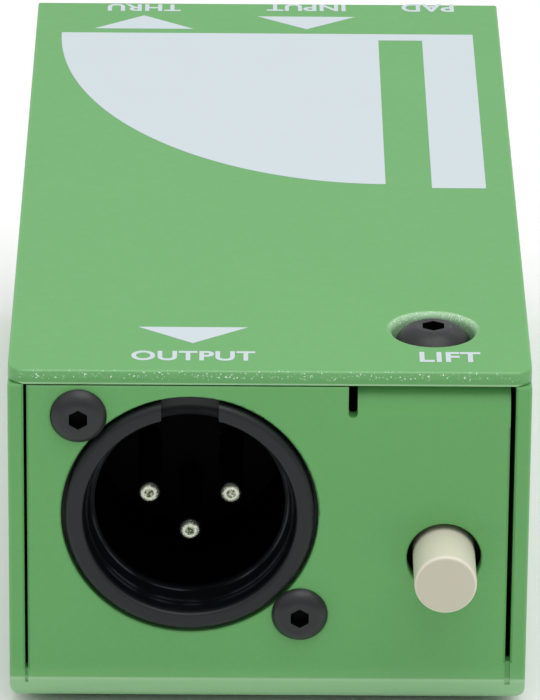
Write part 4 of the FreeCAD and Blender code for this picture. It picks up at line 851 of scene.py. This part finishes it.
def legend(name, s):
    # plain capitals with a little thickness, stretched to their box; the rear ones read from the rear
    curve = bpy.data.curves.new(name, "FONT")
    curve.body = s["word"]
    curve.offset = legendStyle["bold"]
    curve.space_character = legendStyle["gap"]
    curve.extrude = legendStyle["extrude"]
    source = bpy.data.objects.new(name + "Curve", curve)
    bpy.context.scene.collection.objects.link(source)
    bpy.context.view_layer.update()
    mesh = bpy.data.meshes.new_from_object(source.evaluated_get(bpy.context.evaluated_depsgraph_get()))
    bpy.data.objects.remove(source)
    points = np.zeros(len(mesh.vertices) * 3)
    mesh.vertices.foreach_get("co", points)
    points = points.reshape(-1, 3)
    low, high = points.min(0), points.max(0)
    share = (points - low) / (high - low)
    if s["turned"]:
        share[:, :2] = 1 - share[:, :2]
    corner = np.array([s["left"] * mm, lidFront + s["front"] * mm, lidTop])
    size = np.array([(s["right"] - s["left"]) * mm, (s["rear"] - s["front"]) * mm, ink["thickness"]])
    mesh.vertices.foreach_set("co", (corner + share * size).ravel())
    mesh.update()
    mesh.materials.clear()
    mesh.name = name
    return finishPiece(name, mesh, ink["material"])


whitePanel()
for name, corners in arrows.items():
    inkShape(name, corners)
for name, settings in legends.items():
    legend(name, settings)
print("prints on the lid: 1 panel,", len(arrows), "arrows,", len(legends), "legends")


thread = {
    "pitch": 0.79 * mm, "depth": 0.42 * mm, "around": 96, "perPitch": 8, "lead": 0.5 * mm, "leadDepth": 1.1,
    "bore": 3.25 * mm, "mouth": 0.45 * mm,
}


def threadedNose(name, node, material):
    # a closed sleeve. Outside, the radius is the crest less a triangle wave of (distance along the axis
    # less turn/360 pitches); the wave fades to nothing over the lead at both ends. The profile then turns
    # into a chamfered mouth and back along the bore.
    s = thread
    low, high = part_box(node)
    centre = (low + high) / 2
    crest = (high.x - low.x) / 2
    turns = np.linspace(0, 2 * math.pi, s["around"], endpoint=False)
    steps = int((high.y - low.y) / s["pitch"] * s["perPitch"])
    along = np.linspace(low.y, high.y, steps)
    travelled = (along[:, None] - turns[None, :] / (2 * math.pi) * s["pitch"]) / s["pitch"]
    wave = np.abs((travelled % 1.0) * 2 - 1)
    fade = np.clip((along - low.y) / s["lead"], 0, 1)
    lead = np.clip((high.y - along) / s["lead"], 0, 1)
    outer = crest - s["depth"] * wave * fade[:, None]
    outer = np.minimum(outer, (crest - s["depth"] * s["leadDepth"] * (1 - lead))[:, None])
    inner = [
        (high.y, s["bore"] + s["mouth"]), (high.y - s["mouth"], s["bore"]),
        (centre.y, s["bore"]), (low.y, s["bore"]),
    ]
    inner = np.array(inner)
    radius = np.vstack([outer, np.repeat(inner[:, 1:], len(turns), 1)])
    y = np.concatenate([along, inner[:, 0]])
    x, z = centre.x + radius * np.cos(turns), centre.z + radius * np.sin(turns)
    points = np.stack([x, np.repeat(y[:, None], len(turns), 1), z], -1).reshape(-1, 3)
    rows, cols = radius.shape
    row, col = np.meshgrid(np.arange(rows), np.arange(cols), indexing="ij")
    nextRow, nextCol = (row + 1) % rows, (col + 1) % cols
    corners = [row * cols + col, nextRow * cols + col, nextRow * cols + nextCol, row * cols + nextCol]
    mesh = bpy.data.meshes.new(name)
    mesh.from_pydata(points.tolist(), [], np.stack(corners, -1).reshape(-1, 4).tolist())
    made = finishPiece(name, mesh, material)
    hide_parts(node)
    return made


coil = {
    "turns": 5, "wire": 0.2 * mm, "perTurn": 40, "around": 12, "endRoom": 2.2,
    "wallGap": 0.04 * mm, "travel": 2.5 * mm,
}


def coilSpring(name, node, material):
    # a round wire whose centre line goes round the box's axis while it moves along Y: (r cos turn, y,
    # r sin turn), with its rings square to that line.
    s = coil
    low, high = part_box(node)
    centre = (low + high) / 2
    radius = (high.z - low.z) / 2 - s["wire"]
    turn = np.linspace(0, 2 * math.pi * s["turns"], s["turns"] * s["perTurn"])
    reach = high.y - low.y - s["endRoom"] * s["wire"]
    out = np.stack([np.cos(turn), np.zeros_like(turn), np.sin(turn)], 1)
    line = np.array(centre) + radius * out + np.outer(turn / turn[-1] - 0.5, (0, reach, 0))
    ahead = np.stack([-radius * np.sin(turn), np.full_like(turn, reach / turn[-1]), radius * np.cos(turn)], 1)
    ahead /= np.linalg.norm(ahead, axis=1, keepdims=True)
    side = np.cross(ahead, out)
    angle = np.linspace(0, 2 * math.pi, s["around"], endpoint=False)[None, :, None]
    points = line[:, None] + s["wire"] * (np.cos(angle) * out[:, None] + np.sin(angle) * side[:, None])
    rows, cols = points.shape[:2]
    row, col = np.meshgrid(np.arange(rows - 1), np.arange(cols), indexing="ij")
    nextCol = (col + 1) % cols
    corners = [row * cols + col, (row + 1) * cols + col, (row + 1) * cols + nextCol, row * cols + nextCol]
    faces = np.stack(corners, -1).reshape(-1, 4).tolist()
    faces += [list(range(cols)), list(range(rows * cols - 1, (rows - 1) * cols - 1, -1))]
    mesh = bpy.data.meshes.new(name)
    mesh.from_pydata(points.reshape(-1, 3).tolist(), [], faces)
    turned = bmesh.new()
    turned.from_mesh(mesh)
    bmesh.ops.recalc_face_normals(turned, faces=turned.faces)
    turned.to_mesh(mesh)
    turned.free()
    made = finishPiece(name, mesh, material)
    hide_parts(node)
    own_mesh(made)
    return made


for button, wallSide in (("lift", 1), ("pad", -1)):
    node = button + "_button_spring"
    coilSpring(button + "CoilSpring", node, materials[node])
print("springs: 2")

for jack in ("thru", "input"):
    threadedNose(jack + "ThreadedNose", jack + "_jack_bushing", materials[jack + "_jack_bushing"])
print("threaded noses: 2")


studio = {
    "floorHalf": 4.0, "paper": (0.85, 0.85, 0.85, 1), "paperLight": (0.88, 0.88, 0.88, 1),
    "paperGrain": 300.0, "skyTop": 1.15, "skyLow": 0.34, "backdrop": 0.93,
    "softbox": {"size": 0.9, "place": (0.15, -0.25, 1.0), "power": 5.0},
}


def addFloor():
    half = studio["floorHalf"]
    mesh = bpy.data.meshes.new("floor")
    corners = [(-half, -half, 0), (half, -half, 0), (half, half, 0), (-half, half, 0)]
    mesh.from_pydata(corners, [], [(0, 1, 2, 3)])
    floor = bpy.data.objects.new("floor", mesh)
    bpy.context.scene.collection.objects.link(floor)
    shader = {"Roughness": 0.8, "Specular IOR Level": 0.2}
    material, tree, principled, place = startMaterial("floorPaper", shader)
    grain = noise(tree, place, studio["paperGrain"], 3.0)
    colour = blendColour(tree, grain, studio["paper"], studio["paperLight"])
    tree.links.new(colour, principled.inputs["Base Color"])
    mesh.materials.append(material)


def addLight():
    # a sky that is brightest overhead, and one large soft box above and in front
    world = bpy.data.worlds.new("studio")
    bpy.context.scene.world = world
    world.use_nodes = True
    tree = world.node_tree
    background = tree.nodes["Background"]
    height = coordinates(tree, addNode(tree, "ShaderNodeTexCoord").outputs["Generated"])[2]
    sky = ramp(tree, height, 0.0, 1.0, studio["skyLow"], studio["skyTop"], smooth=False)
    seen = addNode(tree, "ShaderNodeLightPath").outputs["Is Camera Ray"]
    lit = calc(tree, "MULTIPLY", sky, calc(tree, "SUBTRACT", 1.0, seen))
    strength = calc(tree, "ADD", lit, calc(tree, "MULTIPLY", seen, studio["backdrop"]))
    background.inputs["Color"].default_value = (1, 1, 1, 1)
    tree.links.new(strength, background.inputs["Strength"])
    s = studio["softbox"]
    lamp = bpy.data.lights.new("softbox", "AREA")
    lamp.shape = "SQUARE"
    lamp.size = s["size"]
    lamp.energy = s["power"]
    holder = bpy.data.objects.new("softbox", lamp)
    holder.location = s["place"]
    holder.rotation_euler = (-Vector(s["place"])).to_track_quat("-Z", "Y").to_euler()
    bpy.context.scene.collection.objects.link(holder)


cameraSettings = {
    "place": (-0.003476, -0.62541, 0.28492), "down": 0.40493, "turn": 0.006015, "lean": 0.008427,
    "lens": 338.65, "sensor": 36.0, "near": 0.01, "far": 50.0,
}


def addCamera():
    # looks forward and down, turned a little to the right and leaned a little
    s = cameraSettings
    ahead = math.cos(s["down"])
    forward = Vector((math.sin(s["turn"]) * ahead, math.cos(s["turn"]) * ahead, -math.sin(s["down"])))
    right = Vector((math.cos(s["turn"]), -math.sin(s["turn"]), 0))
    up = right.cross(forward)
    leanedRight = math.cos(s["lean"]) * right + math.sin(s["lean"]) * up
    leanedUp = -math.sin(s["lean"]) * right + math.cos(s["lean"]) * up
    data = bpy.data.cameras.new("camera")
    data.lens = s["lens"]
    data.sensor_width = s["sensor"]
    data.clip_start = s["near"]
    data.clip_end = s["far"]
    camera = bpy.data.objects.new("camera", data)
    turned = Matrix((leanedRight, leanedUp, -forward)).transposed().to_4x4()
    camera.matrix_world = Matrix.Translation(s["place"]) @ turned
    bpy.context.scene.collection.objects.link(camera)
    bpy.context.scene.camera = camera


addFloor()
addLight()
addCamera()
bpy.context.scene.view_settings.view_transform = "Standard"
print("studio ready")
